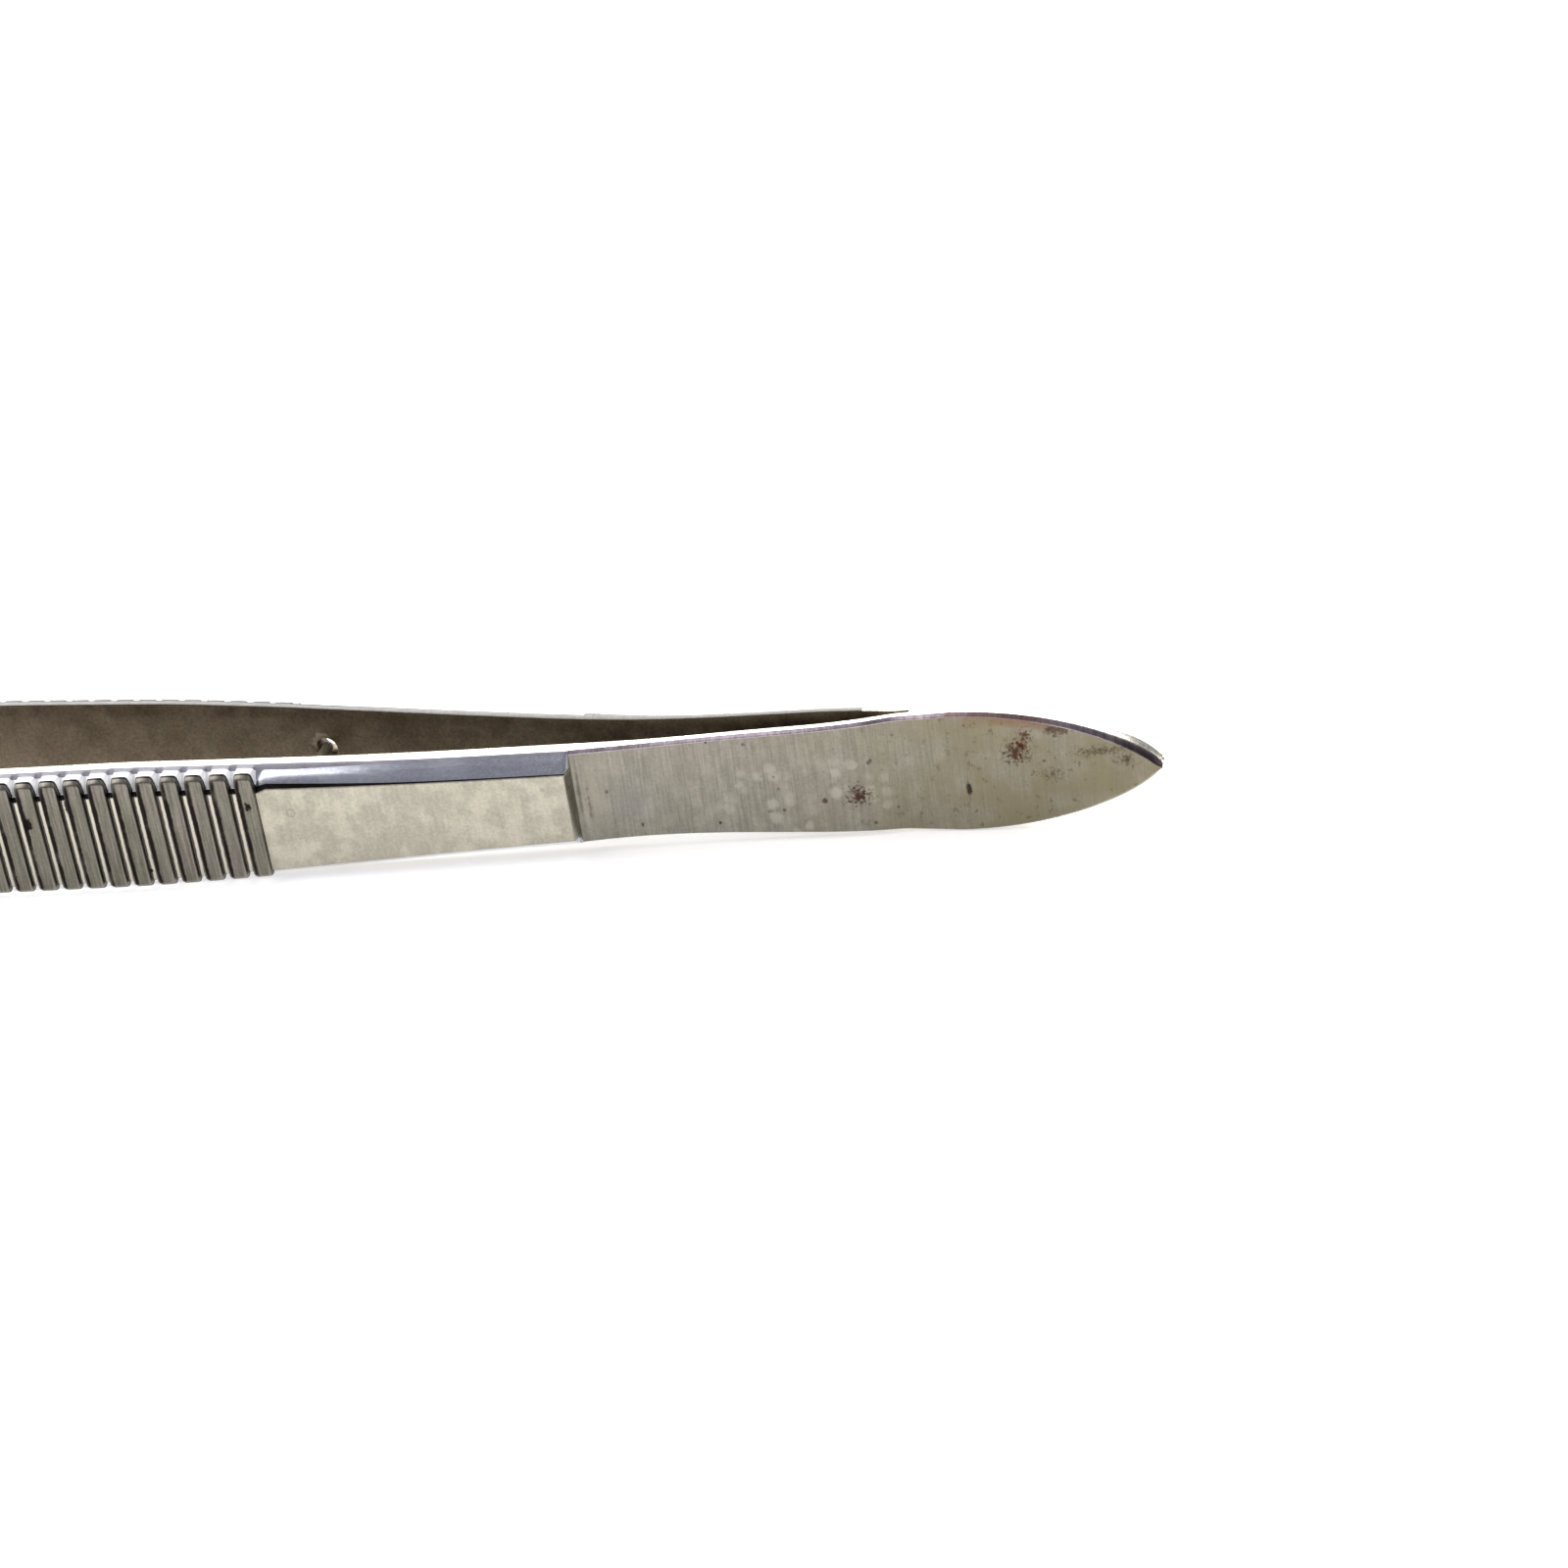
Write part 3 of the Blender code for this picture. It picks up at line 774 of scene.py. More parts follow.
class Finishes:
    """The materials of every zone, made once and shared."""

    def __init__(self, shape: Shape) -> None:
        """Make the materials.

        Args:
            shape: sizes that patterns follow, such as the rib pitch.
        """
        leaf = {"colour": "#8D897F", "blotch_colour": "#9A968B", "roughness": 0.36,
                "line_spacing": 0.17, "line_tone": 0.20, "blotch_size": 1.3,
                "blotch_share": 0.60, "pit_spacing": 1.3,
                "hollow_start": shape.shoulder - shape.ramp_length,
                "hollow_end": shape.shoulder}
        self.near_leaf = LeafSteel("Cross_brushed_leaf_steel_stained",
                                   stains=near_leaf_stains(), **leaf).make()
        self.far_leaf = LeafSteel(
            "Cross_brushed_leaf_steel_far", shift=40.0,
            stains=(Stain(17.0, 1.0, 1.0, 0.7, RUST, 0.6, 2.2),
                    Stain(9.5, -1.4, 0.8, 0.6, RUST, 0.8, 2.2),
                    Stain(28.0, 0.8, 1.2, 0.9, PALE, 0.4)), **leaf).make()
        # A knife-thin corner that holds grime, so each leaf has a dark outline near the butt. It
        # goes on the upper half only, so the dark line along the top edge is partly painted shade;
        # the lower edge is left as leaf.
        self.leaf_edge = EdgeSteel("Leaf_corner_grimy_and_shaded_steel", "#B7A9B2", "#A2949C", 0.30,
                                   line_tone=0.30, dark_start=-1.0, dark_end=8.5,
                                   stains=(Stain(11.0, 4.4, 6.0, 1.2, "#6E4A38", 0.6),)).make()
        # Lilac-grey line along the broken corner: a painted reflection, standing in for the darker
        # band that the rounded corner mirrors.
        # It is not metallic, which keeps its tone nearly the same whatever it faces.
        self.corner = Steel("Painted_reflection_corner_steel", "#8E8B96", "#7C7984", 0.60,
                            Lay.LENGTHWISE, line_tone=0.25, metal=0.0).make()
        # Ends of the ribs, painted near white as a highlight for the brightly lit bevel there.
        # Only partly metallic, which keeps them pale from every side.
        self.rib_end = Steel("Painted_highlight_rib_end_steel", "#FAFAFB", "#F3F3F5", 0.45,
                             line_tone=0.06, speckle=0.03, metal=0.30).make()
        # Belt-ground square edges, the brightest part because they face the light.
        self.ground_edge = EdgeSteel("Belt_ground_edge_steel", "#E2DDD0", "#D2CCBD", 0.24,
                                     line_spacing=0.20, line_tone=0.14, dark_start=-6.0,
                                     dark_end=1.5, dark_colour="#5C5347",
                                     dark_share=0.7).make()
        # The far arm's edge: painted shade, a darker copy of the bright ground edge, dark and half
        # metallic, so it stays grey beside the near arm's bright one.
        self.shaded_far_edge = EdgeSteel("Painted_shade_far_arm_edge_steel", "#57544D", "#4B4842", 0.34,
                                  line_spacing=0.20, line_tone=0.25, metal=0.5, dark_start=-6.0,
                                  dark_end=1.5, dark_colour="#3A332B", dark_share=0.7).make()
        # Inner faces were never polished after forging, so they stay brown and dull.
        self.inner = Steel("Unpolished_inner_face_steel", "#8B7F6E", "#776A58", 0.46,
                           Lay.ROUND, line_spacing=0.22, line_tone=0.22,
                           blotch_size=3.4, blotch_share=0.5, shift=7.0).make()
        self.step = Steel("Shoulder_step_steel", "#A5A195", "#8E8A7E", 0.30).make()
        panel = {"colour": "#ABA698", "blotch_colour": "#BFB9AA", "roughness": 0.42,
                 "line_spacing": 0.25, "line_tone": 0.07, "blotch_size": 1.8,
                 "blotch_share": 0.85, "pit_spacing": 2.2, "line_depth": 0.0008,
                 "blotch_depth": 0.010}
        self.near_panel = PanelSteel("Satin_panel_steel_pin_end", pin_along=shape.pin_place,
                                     pin_up=shape.pin_up, **panel).make()
        self.far_panel = Steel("Satin_panel_steel", shift=23.0, **panel).make()
        # Mirror-polished bevel: low roughness, so it takes the room's light and dark bands.
        self.facet = Steel("Polished_bevel_steel", "#DCDEEA", "#C9CBDA", 0.13,
                           Lay.LENGTHWISE, line_spacing=0.30, line_tone=0.10,
                           line_depth=0.0006, blotch_size=3.0).make()
        # Near-black line at the bevel's foot: painted shade, standing in for the dark reflection
        # along the break between the bevel and the outer face.
        self.foot = Steel("Bevel_foot_painted_shade_steel", "#3A3436", "#241F22", 0.30,
                          Lay.LENGTHWISE, line_tone=0.3).make()
        self.ribs = RibSteel("Ribbed_grip_steel_grimed_and_shaded", "#7C796D", "#827B74", 0.34,
                             line_spacing=0.14, line_tone=0.34, line_depth=0.003,
                             blotch_size=2.6, blotch_share=0.8, edge_wear_highlight_colour="#9A958B",
                             start=shape.grip_start, pitch=shape.rib_pitch, land=shape.rib_land,
                             stains=rib_stains()).make()
        self.nose = Steel("Satin_nose_steel", "#B5AFA1", "#C3BDAE", 0.32, Lay.LENGTHWISE,
                          line_spacing=0.22, line_tone=0.14, blotch_size=2.0).make()
        self.jaw = Steel("Serrated_jaw_steel", "#9D988B", "#858074", 0.30,
                         line_tone=0.20).make()
        self.pin = Steel("Drawn_pin_steel", "#CFC5B2", "#B9AE9A", 0.5,
                         line_spacing=0.12, line_tone=0.2, blotch_size=0.8).make()

    def of_arm(self, side: Side) -> dict[Zone, bpy.types.Material]:
        """Material of each zone of one arm.

        Args:
            side: which arm.

        Returns:
            The materials by zone.
        """
        near = side is Side.NEAR
        return {Zone.LEAF: self.near_leaf if near else self.far_leaf,
                Zone.LEAF_EDGE: self.leaf_edge if near else self.ground_edge,
                Zone.TAIL_EDGE: self.ground_edge, Zone.RIB_END: self.rib_end,
                # The far arm's broken corner also takes the near-black painted-shade foot
                # material.
                Zone.CORNER: self.corner if near else self.foot,
                # The far arm's square edge takes the painted-shade copy of the ground edge.
                Zone.GROUND_EDGE: self.ground_edge if near else self.shaded_far_edge,
                Zone.INNER: self.inner, Zone.STEP: self.step,
                Zone.PANEL: self.near_panel if near else self.far_panel,
                Zone.FACET: self.facet, Zone.FOOT: self.foot, Zone.RIBS: self.ribs,
                Zone.NOSE: self.nose, Zone.JAW: self.jaw}


# ---------------------------------------------------------------- pieces


def set_place(mesh: bpy.types.Mesh, shape: Shape) -> None:
    """Write each point's along, out and up at rest, in mm.

    Args:
        mesh: the mesh, in the frame's coordinates.
        shape: where the butt and the middle are.
    """
    places = mesh.attributes.new(PLACE, "FLOAT_VECTOR", "POINT")
    co = np.array([v.co for v in mesh.vertices], float) / MM
    co[:, 0] = shape.length / 2 - co[:, 0]
    co[:, 1] = np.abs(co[:, 1])
    co[:, 2] -= shape.middle_height
    places.data.foreach_set("vector", co.astype(np.float32).ravel())


def into_object(name: str, mesh: bmesh.types.BMesh, sharp: float) -> bpy.types.Object:
    """Turn a bmesh into a smooth-shaded object in the scene.

    Args:
        name: the piece's name.
        mesh: its shape, freed afterwards.
        sharp: angle in degrees over which an edge stays sharp.

    Returns:
        The object.
    """
    bmesh.ops.recalc_face_normals(mesh, faces=mesh.faces)
    data = bpy.data.meshes.new(name)
    mesh.to_mesh(data)
    mesh.free()
    data.shade_smooth()
    data.set_sharp_from_angle(angle=math.radians(sharp))
    obj = bpy.data.objects.new(name, data)
    bpy.context.collection.objects.link(obj)
    return obj


@dataclass
class Arm:
    """One forged arm in one piece: leaf, panel, ribbed grip, nose and serrated jaw."""

    side: Side
    shape: Shape
    face_points: int = 8
    corner_radius: float = 0.07
    rib_corner: float = 0.10
    rib_under_cut: float = 0.30
    rib_top_cut: float = 0.0
    rib_shoulder: float = 0.34
    rib_lip: float = 0.01
    groove_reach: float = 0.33
    foot_lift: float = 0.04
    edge_share: float = 1.0
    leaf_step: float = 0.55
    handle_step: float = 0.8
    nose_step: float = 1.0

    # How a rib rises from the groove: distance from the wall's foot, share of the height, and
    # how far its end is cut back there, which rounds the land's corners.
    wall: tuple[tuple[float, float, float], ...] = (
        (-0.02, 0.0, 0.0), (0.015, 0.12, 0.3), (0.05, 0.55, 0.30), (0.085, 0.86, 0.24),
        (0.13, 0.975, 0.16), (0.20, 1.0, 0.08), (0.30, 1.0, 0.02))

    def stations(self) -> list[Station]:
        """Outlines from the butt to the tip, close together where the shape turns.

        Returns:
            The stations in order.
        """
        s = self.shape
        tail = [s.tail_widest * (i / 30) ** 1.8 for i in range(30)]
        leaf = list(np.arange(s.tail_widest, s.shoulder - 0.2, self.leaf_step))
        step = [s.shoulder - 0.1, s.shoulder, s.shoulder + 0.06, s.shoulder + 0.24,
                s.shoulder + s.step_length, s.shoulder + s.step_length + 0.12]
        handle = list(np.arange(step[-1] + 0.3, s.grip_start - 0.2, self.handle_step))
        plain = [Station(float(a)) for a in tail + leaf + step + handle]
        return plain + self.rib_stations() + self.nose_stations()

    def rib_stations(self) -> list[Station]:
        """Stations of the ribbed grip, with rounded crowns and feet."""
        s = self.shape
        found = []
        for i in range(s.rib_count):
            start = s.grip_start + i * s.rib_pitch
            end = start + s.rib_land
            rise = [Station(start + reach, share * s.rib_height, drop)
                    for reach, share, drop in self.wall]
            fall = [Station(end - reach, share * s.rib_height, drop)
                    for reach, share, drop in self.wall]
            found += rise + [Station((start + end) / 2, s.rib_height)] + fall[::-1]
            found += [Station(end + (s.rib_pitch - s.rib_land) / 2)]
        return found

    def nose_stations(self) -> list[Station]:
        """Stations of the nose, the jaw's cross serrations and the rounded tip."""
        s = self.shape
        first = s.length - s.tip_round - s.tooth_count * s.tooth_pitch
        nose = [Station(float(a)) for a in np.arange(s.grip_end + 0.3, first - 0.1,
                                                     self.nose_step)]
        teeth = []
        for i in range(s.tooth_count):
            for share, depth in ((0.0, 0.0), (0.12, 0.1), (0.46, 0.95), (0.54, 0.95), (0.88, 0.1)):
                teeth.append(Station(first + (i + share) * s.tooth_pitch,
                                     tooth=depth * s.tooth_depth))
        tip = [Station(s.length - s.tip_round * k) for k in (1.0, 0.8, 0.6, 0.4, 0.24, 0.12,
                                                             0.04, 0.0)]
        return nose + teeth + tip

    def corners(self, at: Station, upper: bool) -> list[tuple[float, float, float]]:
        """Corners of one half of an outline, drawn as if it were the upper half.

        Args:
            at: the station.
            upper: whether the upper half is meant; the lower one has a smaller bevel.

        Returns:
            Out, up and corner radius of each corner, from the inner face to the outer.
        """
        s = self.shape
        half = s.width(at.along) / 2
        body = s.thickness(at.along)
        depth, height = s.bevel(at.along)
        share = 1.0 if upper or at.along <= s.shoulder else s.under_bevel_share
        if at.along > s.shoulder:
            depth = body - (body - depth) * self.edge_share
        depth, height = min(depth, 0.7 * body), min(height * share, 0.6 * half)
        risen = at.rib / s.rib_height
        small = min(self.corner_radius, 0.16 * half)
        inner = small if at.along > s.weld_end else 0.3 * small
        foot = self.foot_share(at.along)
        in_grip = s.grip_start - 0.03 < at.along < s.grip_end
        deep = height + (self.groove_reach if in_grip and upper else 0.0)
        groove = [(body - foot * depth, half - (1 - foot - self.foot_lift) * deep),
                  (body, half - deep)]
        end = half - (at.drop + self.rib_top_cut if upper
                      else 0.4 * at.drop + self.rib_under_cut)
        crown = [(body + at.rib - self.rib_shoulder, end - self.rib_lip),
                 (body + at.rib, end - self.rib_shoulder)]
        outer = [tuple(g + (c - g) * risen for g, c in zip(plain, rib))
                 for plain, rib in zip(groove, crown)]
        round_out = small + (self.rib_corner - small) * risen
        return [(at.tooth, half, inner), (body - depth, half, self.broken_corner(at.along)),
                (*outer[0], round_out), (*outer[1], round_out)]

    def broken_corner(self, along: float) -> float:
        """Radius to which the square edge's outer corner is broken."""
        s = self.shape
        if along <= s.shoulder:
            return min(self.corner_radius, 0.16 * s.width(along) / 2)
        return smooth_through([(s.shoulder, 0.10), (s.grip_start - 10, 0.16),
                               (s.grip_start - 2, 0.34), (s.grip_end, 0.34),
                               (s.nose_start + 6, 0.10)], along)

    def foot_share(self, along: float) -> float:
        """Share of the bevel that turns down more steeply to meet the outer face."""
        s = self.shape
        if along > s.grip_start:
            return 0.22
        return smooth_through([(s.shoulder, 0.10), (s.grip_start - 12, 0.12),
                               (s.grip_start - 1, 0.27)], along)

    def outline(self, at: Station) -> list[tuple[float, float]]:
        """Rounded outline across the arm, from the upper inner corner round to the inner face.

        Args:
            at: the station.

        Returns:
            Points as out and up, the same number for every station.
        """
        lower = self.corners(at, False)
        ring = self.corners(at, True) + [(out, -up, r) for out, up, r in reversed(lower)]
        points: list[tuple[float, float]] = []
        count = len(ring)
        for i, (out, up, radius) in enumerate(ring):
            corner = Vector((out, up))
            before = Vector(ring[i - 1][:2]) - corner
            after = Vector(ring[(i + 1) % count][:2]) - corner
            start = corner + before.normalized() * min(radius, 0.42 * before.length)
            end = corner + after.normalized() * min(radius, 0.42 * after.length)
            middle = 0.25 * start + 0.5 * corner + 0.25 * end
            points += [tuple(start), tuple(middle), tuple(end)]
            if i in (count // 2 - 1, count - 1):
                target = Vector(ring[(i + 1) % count][:2])
                back = (end - target).normalized() * min(ring[(i + 1) % count][2],
                                                         0.42 * after.length)
                reach = target + back
                points += [tuple(end.lerp(reach, (k + 1) / (self.face_points + 1)))
                           for k in range(self.face_points)]
        return points

    def runs(self) -> list[Run]:
        """Which stretch each side of the outline belongs to, in the outline's order."""
        half = ([Run.EDGE] * 3 + [Run.CORNER] * 2 + [Run.FACET] + [Run.BREAK] * 2 + [Run.FOOT]
                + [Run.RIM] * 2)
        face = [Run.FACE] * (self.face_points + 1)
        inner = [Run.INNER] * (self.face_points + 1)
        return half + face + half[::-1] + inner

    def zone(self, run: Run, along: float, upper: bool) -> Zone:
        """Zone of a face.

        Args:
            run: its stretch of the outline.
            along: its place.
            upper: whether it is on the upper half, which takes the painted shade lines and the
                grimy, shaded leaf edge.

        Returns:
            The zone.
        """
        s = self.shape
        if run is Run.INNER:
            return Zone.INNER if along < s.jaw_start else Zone.JAW
        if run is Run.EDGE:
            return Zone.GROUND_EDGE if along > s.weld_end + 3.0 else Zone.TAIL_EDGE
        if run is not Run.FACE:
            return self.bevel_zone(run, along, upper)
        if along < s.shoulder:
            return Zone.LEAF
        if along < s.shoulder + s.step_length:
            return Zone.STEP
        if along < s.grip_start - 0.05:
            return Zone.PANEL
        return Zone.RIBS if along < s.grip_end else Zone.NOSE

    def bevel_zone(self, run: Run, along: float, upper: bool) -> Zone:
        """Zone of a face between the square edge and the outer face."""
        s = self.shape
        if along < s.shoulder:
            # The leaf edge zone goes on the upper half only: its dark line is partly grime and
            # partly painted shade on the top edge; the lower edge stays leaf.
            return Zone.LEAF_EDGE if upper else Zone.LEAF
        if run is Run.CORNER:
            return Zone.CORNER if along < s.grip_end else Zone.GROUND_EDGE
        # Zone.FOOT is the near-black painted shade line, on the bevel's foot and the ribs' end
        # corners; it goes on the upper half only.
        if s.grip_start - 0.03 < along < s.grip_end:
            if self.on_rib(along):
                crown = {Run.BREAK: Zone.FOOT, Run.FOOT: Zone.RIBS, Run.RIM: Zone.RIBS}
            else:
                crown = {Run.FOOT: Zone.FOOT if upper else Zone.RIBS, Run.RIM: Zone.RIBS}
            # Zone.RIB_END carries the painted highlight on the bevel beside the ribs.
            return crown.get(run, Zone.RIB_END)
        if run in (Run.FOOT, Run.RIM) and along < s.grip_start:
            return Zone.FOOT if upper and run is Run.FOOT else Zone.PANEL
        return Zone.FACET

    def on_rib(self, along: float) -> bool:
        """Whether a place is on a rib's land or walls."""
        s = self.shape
        if not s.grip_start - 0.03 < along < s.grip_end:
            return False
        return (along - s.grip_start + 0.03) % s.rib_pitch < s.rib_land + 0.06

    def build(self) -> bpy.types.Object:
        """Loft the arm.

        Returns:
            The arm's mesh object, with a material index for each zone.
        """
        mesh = bmesh.new()
        stations = self.stations()
        zones = list(Zone)
        runs = self.runs()
        rings = [[mesh.verts.new(self.shape.point(self.side, at.along, out, up))
                  for out, up in self.outline(at)] for at in stations]
        for here, there, at, to in zip(rings, rings[1:], stations, stations[1:]):
            middle = (at.along + to.along) / 2
            for i, run in enumerate(runs):
                j = (i + 1) % len(here)
                face = mesh.faces.new((here[i], here[j], there[j], there[i]))
                zone = self.zone(run, middle, i < len(runs) // 2)
                face.material_index = zones.index(zone)
        for ring in (rings[0], rings[-1]):
            mesh.faces.new(ring).material_index = zones.index(Zone.GROUND_EDGE)
        return into_object(f"{self.side.word}_arm_steel", mesh, 38.0)

    def dress(self, obj: bpy.types.Object, finishes: Finishes) -> None:
        """Give the arm its materials and place attribute, hide the model's own arm parts and bake
        its transform.

        Args:
            obj: the arm.
            finishes: the materials.
        """
        materials = finishes.of_arm(self.side)
        for zone in Zone:
            obj.data.materials.append(materials[zone])
        set_place(obj.data, self.shape)
        flex = self.shape.flex_axis
        ends = [self.shape.point(self.side, flex + reach, self.shape.leaf_thickness / 2, 0.0)
                for reach in (-6.5, 6.5)]
        for end in ends:
            end.y = ends[0].y
        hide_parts(f"{self.side.word}_leaf_root", f"{self.side.word}_arm")
        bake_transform(obj)
        log.info("%s: %d faces, bends between the butt and its grip", obj.name,
                 len(obj.data.polygons))


@dataclass
class FarArm(Arm):
    """The far arm: a narrower edge flat, and the bore that the guide pin slides through."""

    edge_share: float = 0.62
    rib_top_cut: float = 0.60

    def build(self) -> bpy.types.Object:
        """Loft the arm and bore it.

        Returns:
            The arm with its bore.
        """
        s = self.shape
        arm = super().build()
        radius = s.pin_radius + s.pin_hole_clearance
        centre = s.point(self.side, s.pin_place, s.panel_thickness / 2, s.pin_up)
        drill = bmesh.new()
        half = s.panel_thickness / 2
        flare = radius + 0.25
        profile = [(0.0, -half - 0.6), (radius, -half - 0.6), (radius, half - 0.20),
                   (flare, half + 0.05), (flare, half + 0.6), (0.0, half + 0.6)]
        turn(drill, profile, centre, 40)
        cutter = into_object("far_arm_bore_cutter", drill, 30.0)
        for face in cutter.data.polygons:
            face.material_index = list(Zone).index(Zone.INNER)
        cut = arm.modifiers.new("bore", "BOOLEAN")
        cut.operation = "DIFFERENCE"
        cut.solver = "EXACT"
        cut.object = cutter
        bored = bpy.data.meshes.new_from_object(
            arm.evaluated_get(bpy.context.evaluated_depsgraph_get()))
        arm.modifiers.clear()
        arm.data = bored
        bpy.data.objects.remove(cutter)
        return arm


def turn(mesh: bmesh.types.BMesh, profile: Stations, centre: Vector, segments: int) -> None:
    """Add a body turned about an axis along Y.

    Args:
        mesh: where the body goes.
        profile: pairs of radius and place along Y from the centre, in mm; radius 0 at both ends.
        centre: the turning centre in the frame.
        segments: sides of the body.
    """
    rings = []
    for radius, place in profile:
        if radius == 0.0:
            rings.append([mesh.verts.new(centre + Vector((0.0, place, 0.0)) * MM)])
            continue
        turns = [2 * math.pi * k / segments for k in range(segments)]
        rings.append([mesh.verts.new(centre + Vector((radius * math.cos(a), place,
                                                      radius * math.sin(a))) * MM)
                      for a in turns])
    for here, there in zip(rings, rings[1:]):
        for i in range(segments):
            j = (i + 1) % segments
            corners = [here[i % len(here)], here[j % len(here)],
                       there[j % len(there)], there[i % len(there)]]
            mesh.faces.new(list(dict.fromkeys(corners)))


@dataclass
class ButtWeld:
    """Weld between the two tails, ground flush with their edges all round."""

    shape: Shape
    thickness: float = 0.34
    below_edge: float = 0.012
    fillet: float = 0.5

    def build(self) -> bpy.types.Object:
        """Loft the weld, with a concave front where the metal pooled.

        Returns:
            The weld.
        """
        s = self.shape
        mesh = bmesh.new()
        places = [s.tail_widest * (i / 24) ** 1.7 for i in range(1, 24)]
        places += list(np.linspace(s.tail_widest, s.weld_end - 0.6, 8))
        rings = []
        for along in places:
            half = s.width(along) / 2 - self.below_edge
            rows = [(self.thickness / 2, half * k) for k in np.linspace(1, -1, 9)]
            ring = rows + [(-y, up) for y, up in reversed(rows)]
            rings.append([mesh.verts.new(
                Vector((s.length / 2 - along, y, s.middle_height + up)) * MM)
                for y, up in ring])
        for k, ring in enumerate(rings[-2:]):
            for vert in ring:
                bow = (vert.co.z / MM - s.middle_height) / (s.body_width / 2)
                vert.co.x += self.fillet * MM * (1 - bow**2) * (k + 1) / 2
        for here, there in zip(rings, rings[1:]):
            for i in range(len(here)):
                j = (i + 1) % len(here)
                mesh.faces.new((here[i], here[j], there[j], there[i]))
        mesh.faces.new(rings[0])
        mesh.faces.new(rings[-1])
        return into_object("butt_weld_ground", mesh, 40.0)

    def dress(self, obj: bpy.types.Object, finishes: Finishes) -> None:
        """Give the weld the same ground finish as the edges beside it."""
        obj.data.materials.append(finishes.ground_edge)
        set_place(obj.data, self.shape)
        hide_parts("butt_weld")
        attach(obj, "butt")
        log.info("%s: %d faces, fixed to the butt", obj.name, len(obj.data.polygons))


@dataclass
class GuidePin:
    """Pin set in the near arm, whose domed end slides through the far arm's bore."""

    shape: Shape
    entry: float = 0.60
    seat_depth: float = 0.15
    fillet: float = 0.09

    def build(self) -> bpy.types.Object:
        """Turn the pin, with a small fillet where it leaves the near arm.

        Returns:
            The pin.
        """
        s = self.shape
        face = s.inner_offset(s.pin_place)
        radius = s.pin_radius
        fixed = -(face + s.thickness(s.pin_place)) + self.seat_depth
        free = face + self.entry
        profile = [(0.0, fixed), (radius, fixed), (radius, -face - 0.12)]
        profile += [(radius + self.fillet * (1 - math.sin(a)),
                     -face - 0.04 + self.fillet * (1 - math.cos(a)))
                    for a in (math.radians(k) for k in (0, 25, 50, 75, 90))]
        profile += [(radius, free - radius)]
        profile += [(radius * math.cos(a), free - radius * (1 - math.sin(a)))
                    for a in (math.radians(k) for k in (12, 26, 40, 54, 68, 80))]
        profile += [(0.0, free)]
        mesh = bmesh.new()
        centre = Vector((s.length / 2 - s.pin_place, 0.0, s.middle_height + s.pin_up)) * MM
        turn(mesh, profile, centre, 40)
        return into_object("guide_pin_drawn", mesh, 35.0)

    def dress(self, obj: bpy.types.Object, finishes: Finishes) -> None:
        """Give the pin its drawn finish and let it ride on the near arm."""
        obj.data.materials.append(finishes.pin)
        set_place(obj.data, self.shape)
        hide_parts("guide_pin")
        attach(obj, "near_arm")
        log.info("%s: %d faces, moves with the near arm", obj.name, len(obj.data.polygons))


# ---------------------------------------------------------------- studio


@dataclass(frozen=True)
class SoftLight:
    """A large soft panel of light."""

    name: str
    place: tuple[float, float, float]
    size: tuple[float, float]
    brightness: float
    colour: str = "#FFFFFF"

    def build(self) -> None:
        """Hang the panel, facing the tweezers."""
        data = bpy.data.lights.new(self.name, "AREA")
        data.shape = "RECTANGLE"
        data.size, data.size_y = self.size
        data.energy = self.brightness * math.pi * self.size[0] * self.size[1]
        data.color = linear(self.colour)[:3]
        lamp = bpy.data.objects.new(self.name, data)
        lamp.location = self.place
        lamp.rotation_euler = (-Vector(self.place)).to_track_quat("-Z", "Y").to_euler()
        bpy.context.collection.objects.link(lamp)


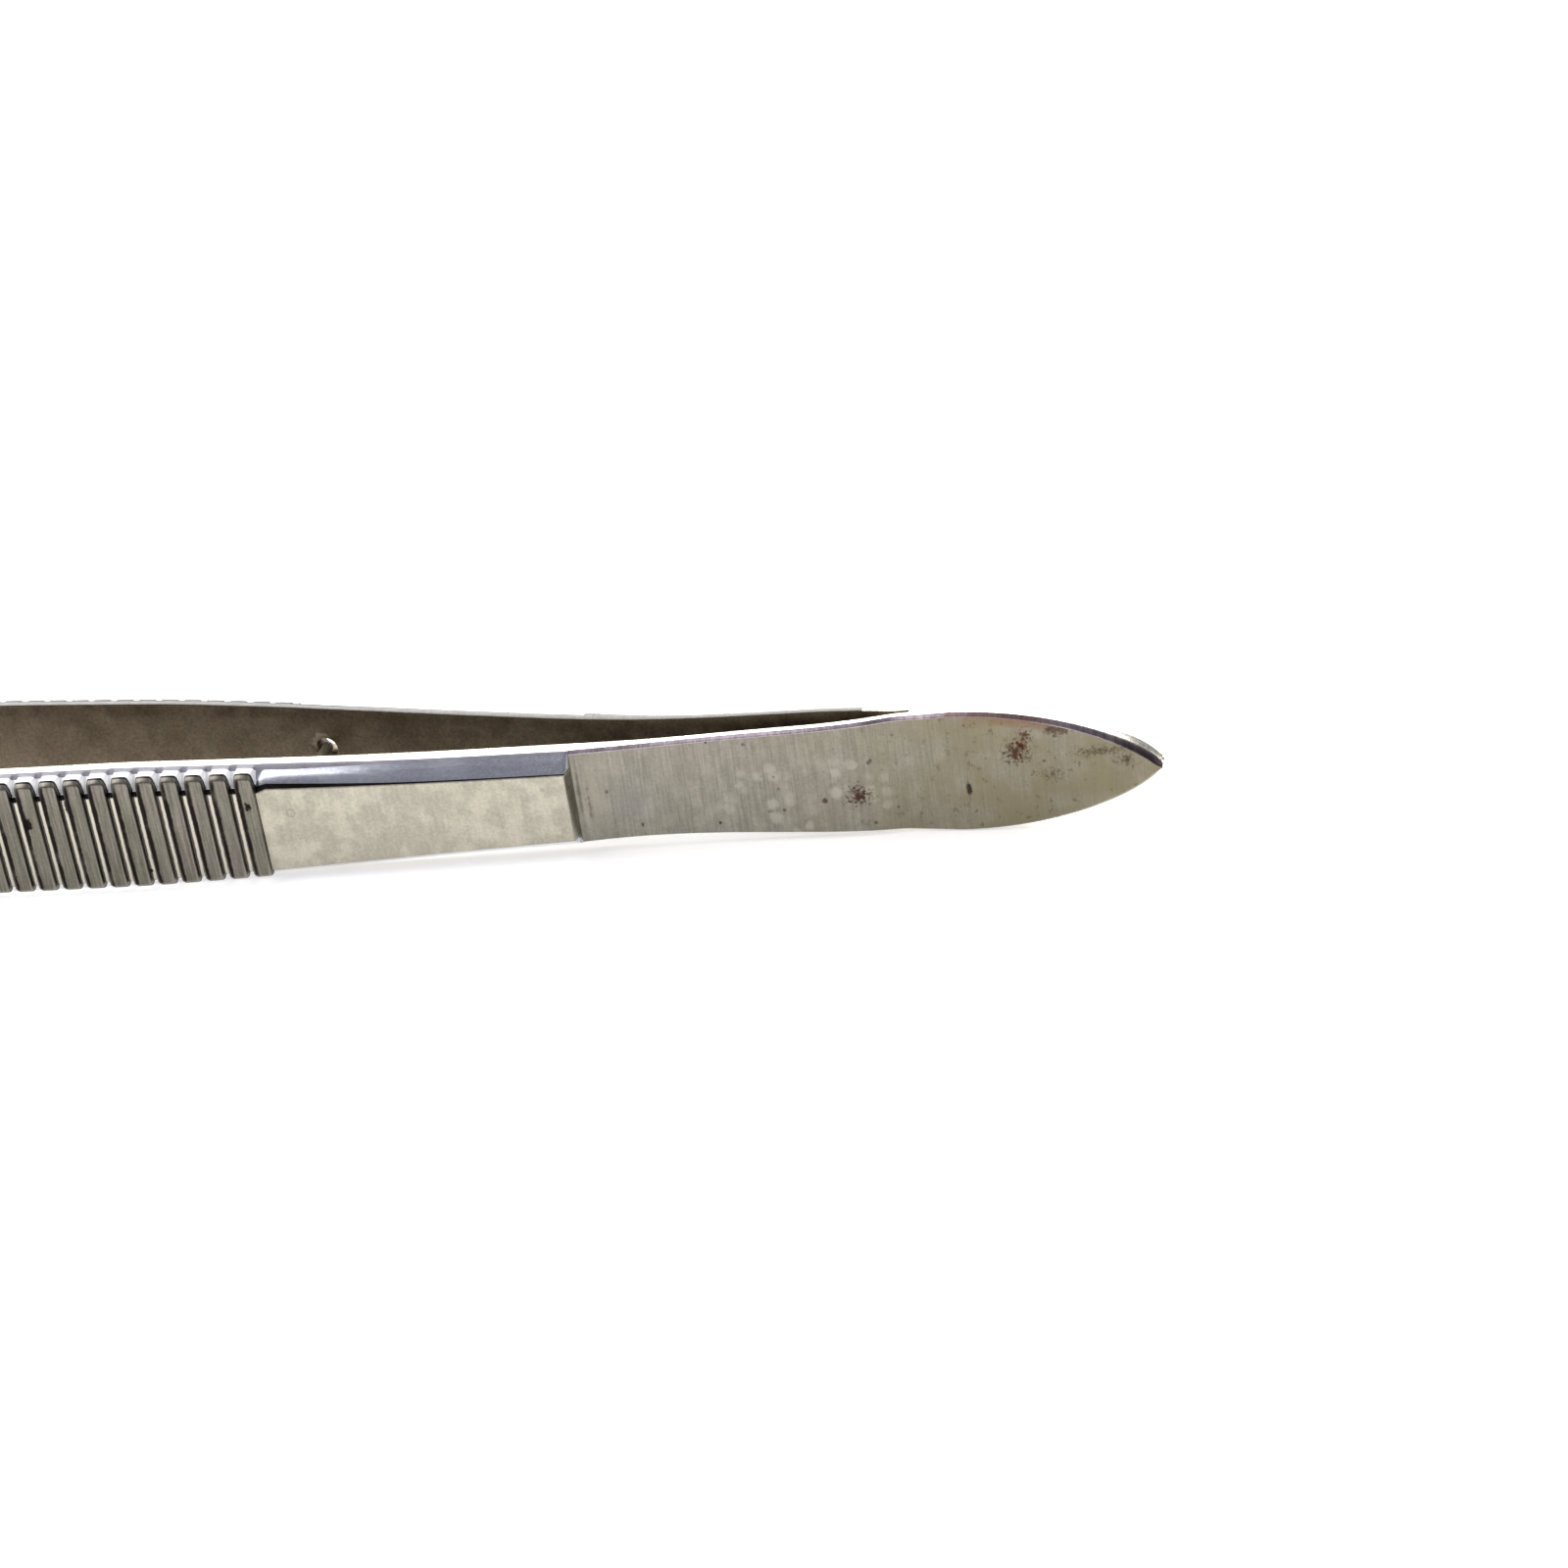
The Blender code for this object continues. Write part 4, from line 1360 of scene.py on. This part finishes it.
@dataclass
class Studio:
    """Pale floor, soft light and the camera."""

    floor_size: float = 4.0
    floor_colour: str = "#F2F1EF"
    floor_glow: float = 0.5
    room_colour: str = "#929397"
    room_brightness: float = 1.0
    lens: float = 79.18
    sensor: float = 36.0
    camera_place: tuple[float, float, float] = (0.098587, -0.213956, 0.125759)
    camera_right: tuple[float, float, float] = (0.97862, 0.16400, -0.12414)
    camera_up: tuple[float, float, float] = (0.02607, 0.49977, 0.86576)
    lights: tuple[SoftLight, ...] = (
        SoftLight("back_panel", (-0.20, 0.80, 0.48), (1.3, 0.62), 6.0),
        SoftLight("overhead_panel", (-0.80, -0.10, 0.95), (1.42, 1.2), 3.0),
        SoftLight("side_panel", (0.80, 0.35, 0.80), (0.8, 0.8), 2.0),
    )

    def build(self) -> None:
        """Set the floor, room, lights and camera."""
        self.build_floor()
        self.build_room()
        for light in self.lights:
            light.build()
        self.build_camera()
        bpy.context.scene.view_settings.view_transform = "Standard"
        log.info("studio: floor, room, %d soft panels and camera", len(self.lights))

    def build_floor(self) -> None:
        """Pale floor that the tweezers' lower edges stand on."""
        half = self.floor_size / 2
        mesh = bmesh.new()
        corners = [mesh.verts.new((x, y, 0.0)) for x, y in
                   ((-half, -half), (half, -half), (half, half), (-half, half))]
        mesh.faces.new(corners)
        floor = into_object("studio_floor", mesh, 30.0)
        material = bpy.data.materials.new("Pale_studio_floor")
        material.use_nodes = True
        shader = material.node_tree.nodes["Principled BSDF"]
        shader.inputs["Base Color"].default_value = linear(self.floor_colour)
        shader.inputs["Roughness"].default_value = 0.5
        # The floor is a lit table, which keeps the contact shadow pale.
        shader.inputs["Emission Color"].default_value = (1.0, 1.0, 1.0, 1.0)
        shader.inputs["Emission Strength"].default_value = self.floor_glow
        floor.data.materials.append(material)

    def build_room(self) -> None:
        """Even, dim room that the steel's dark bands mirror."""
        world = bpy.data.worlds.new("studio_room")
        world.use_nodes = True
        background = world.node_tree.nodes["Background"]
        background.inputs["Color"].default_value = linear(self.room_colour)
        background.inputs["Strength"].default_value = self.room_brightness
        bpy.context.scene.world = world

    def build_camera(self) -> None:
        """Camera on the tweezers' rear half, a little above them."""
        data = bpy.data.cameras.new("camera")
        data.lens = self.lens
        data.sensor_width = self.sensor
        data.clip_start = 0.01
        camera = bpy.data.objects.new("camera", data)
        right, up = Vector(self.camera_right), Vector(self.camera_up)
        turned = Matrix((right, up, right.cross(up))).transposed().to_4x4()
        camera.matrix_world = Matrix.Translation(self.camera_place) @ turned
        bpy.context.collection.objects.link(camera)
        bpy.context.scene.camera = camera


def main() -> None:
    """Build the studio and every piece of the tweezers."""
    logging.basicConfig(level=logging.INFO, format="%(message)s")
    shape = Shape()
    Studio().build()
    finishes = Finishes(shape)
    for part in (Arm(Side.NEAR, shape), FarArm(Side.FAR, shape), ButtWeld(shape),
                 GuidePin(shape)):
        part.dress(part.build(), finishes)


if __name__ == "__main__":
    main()
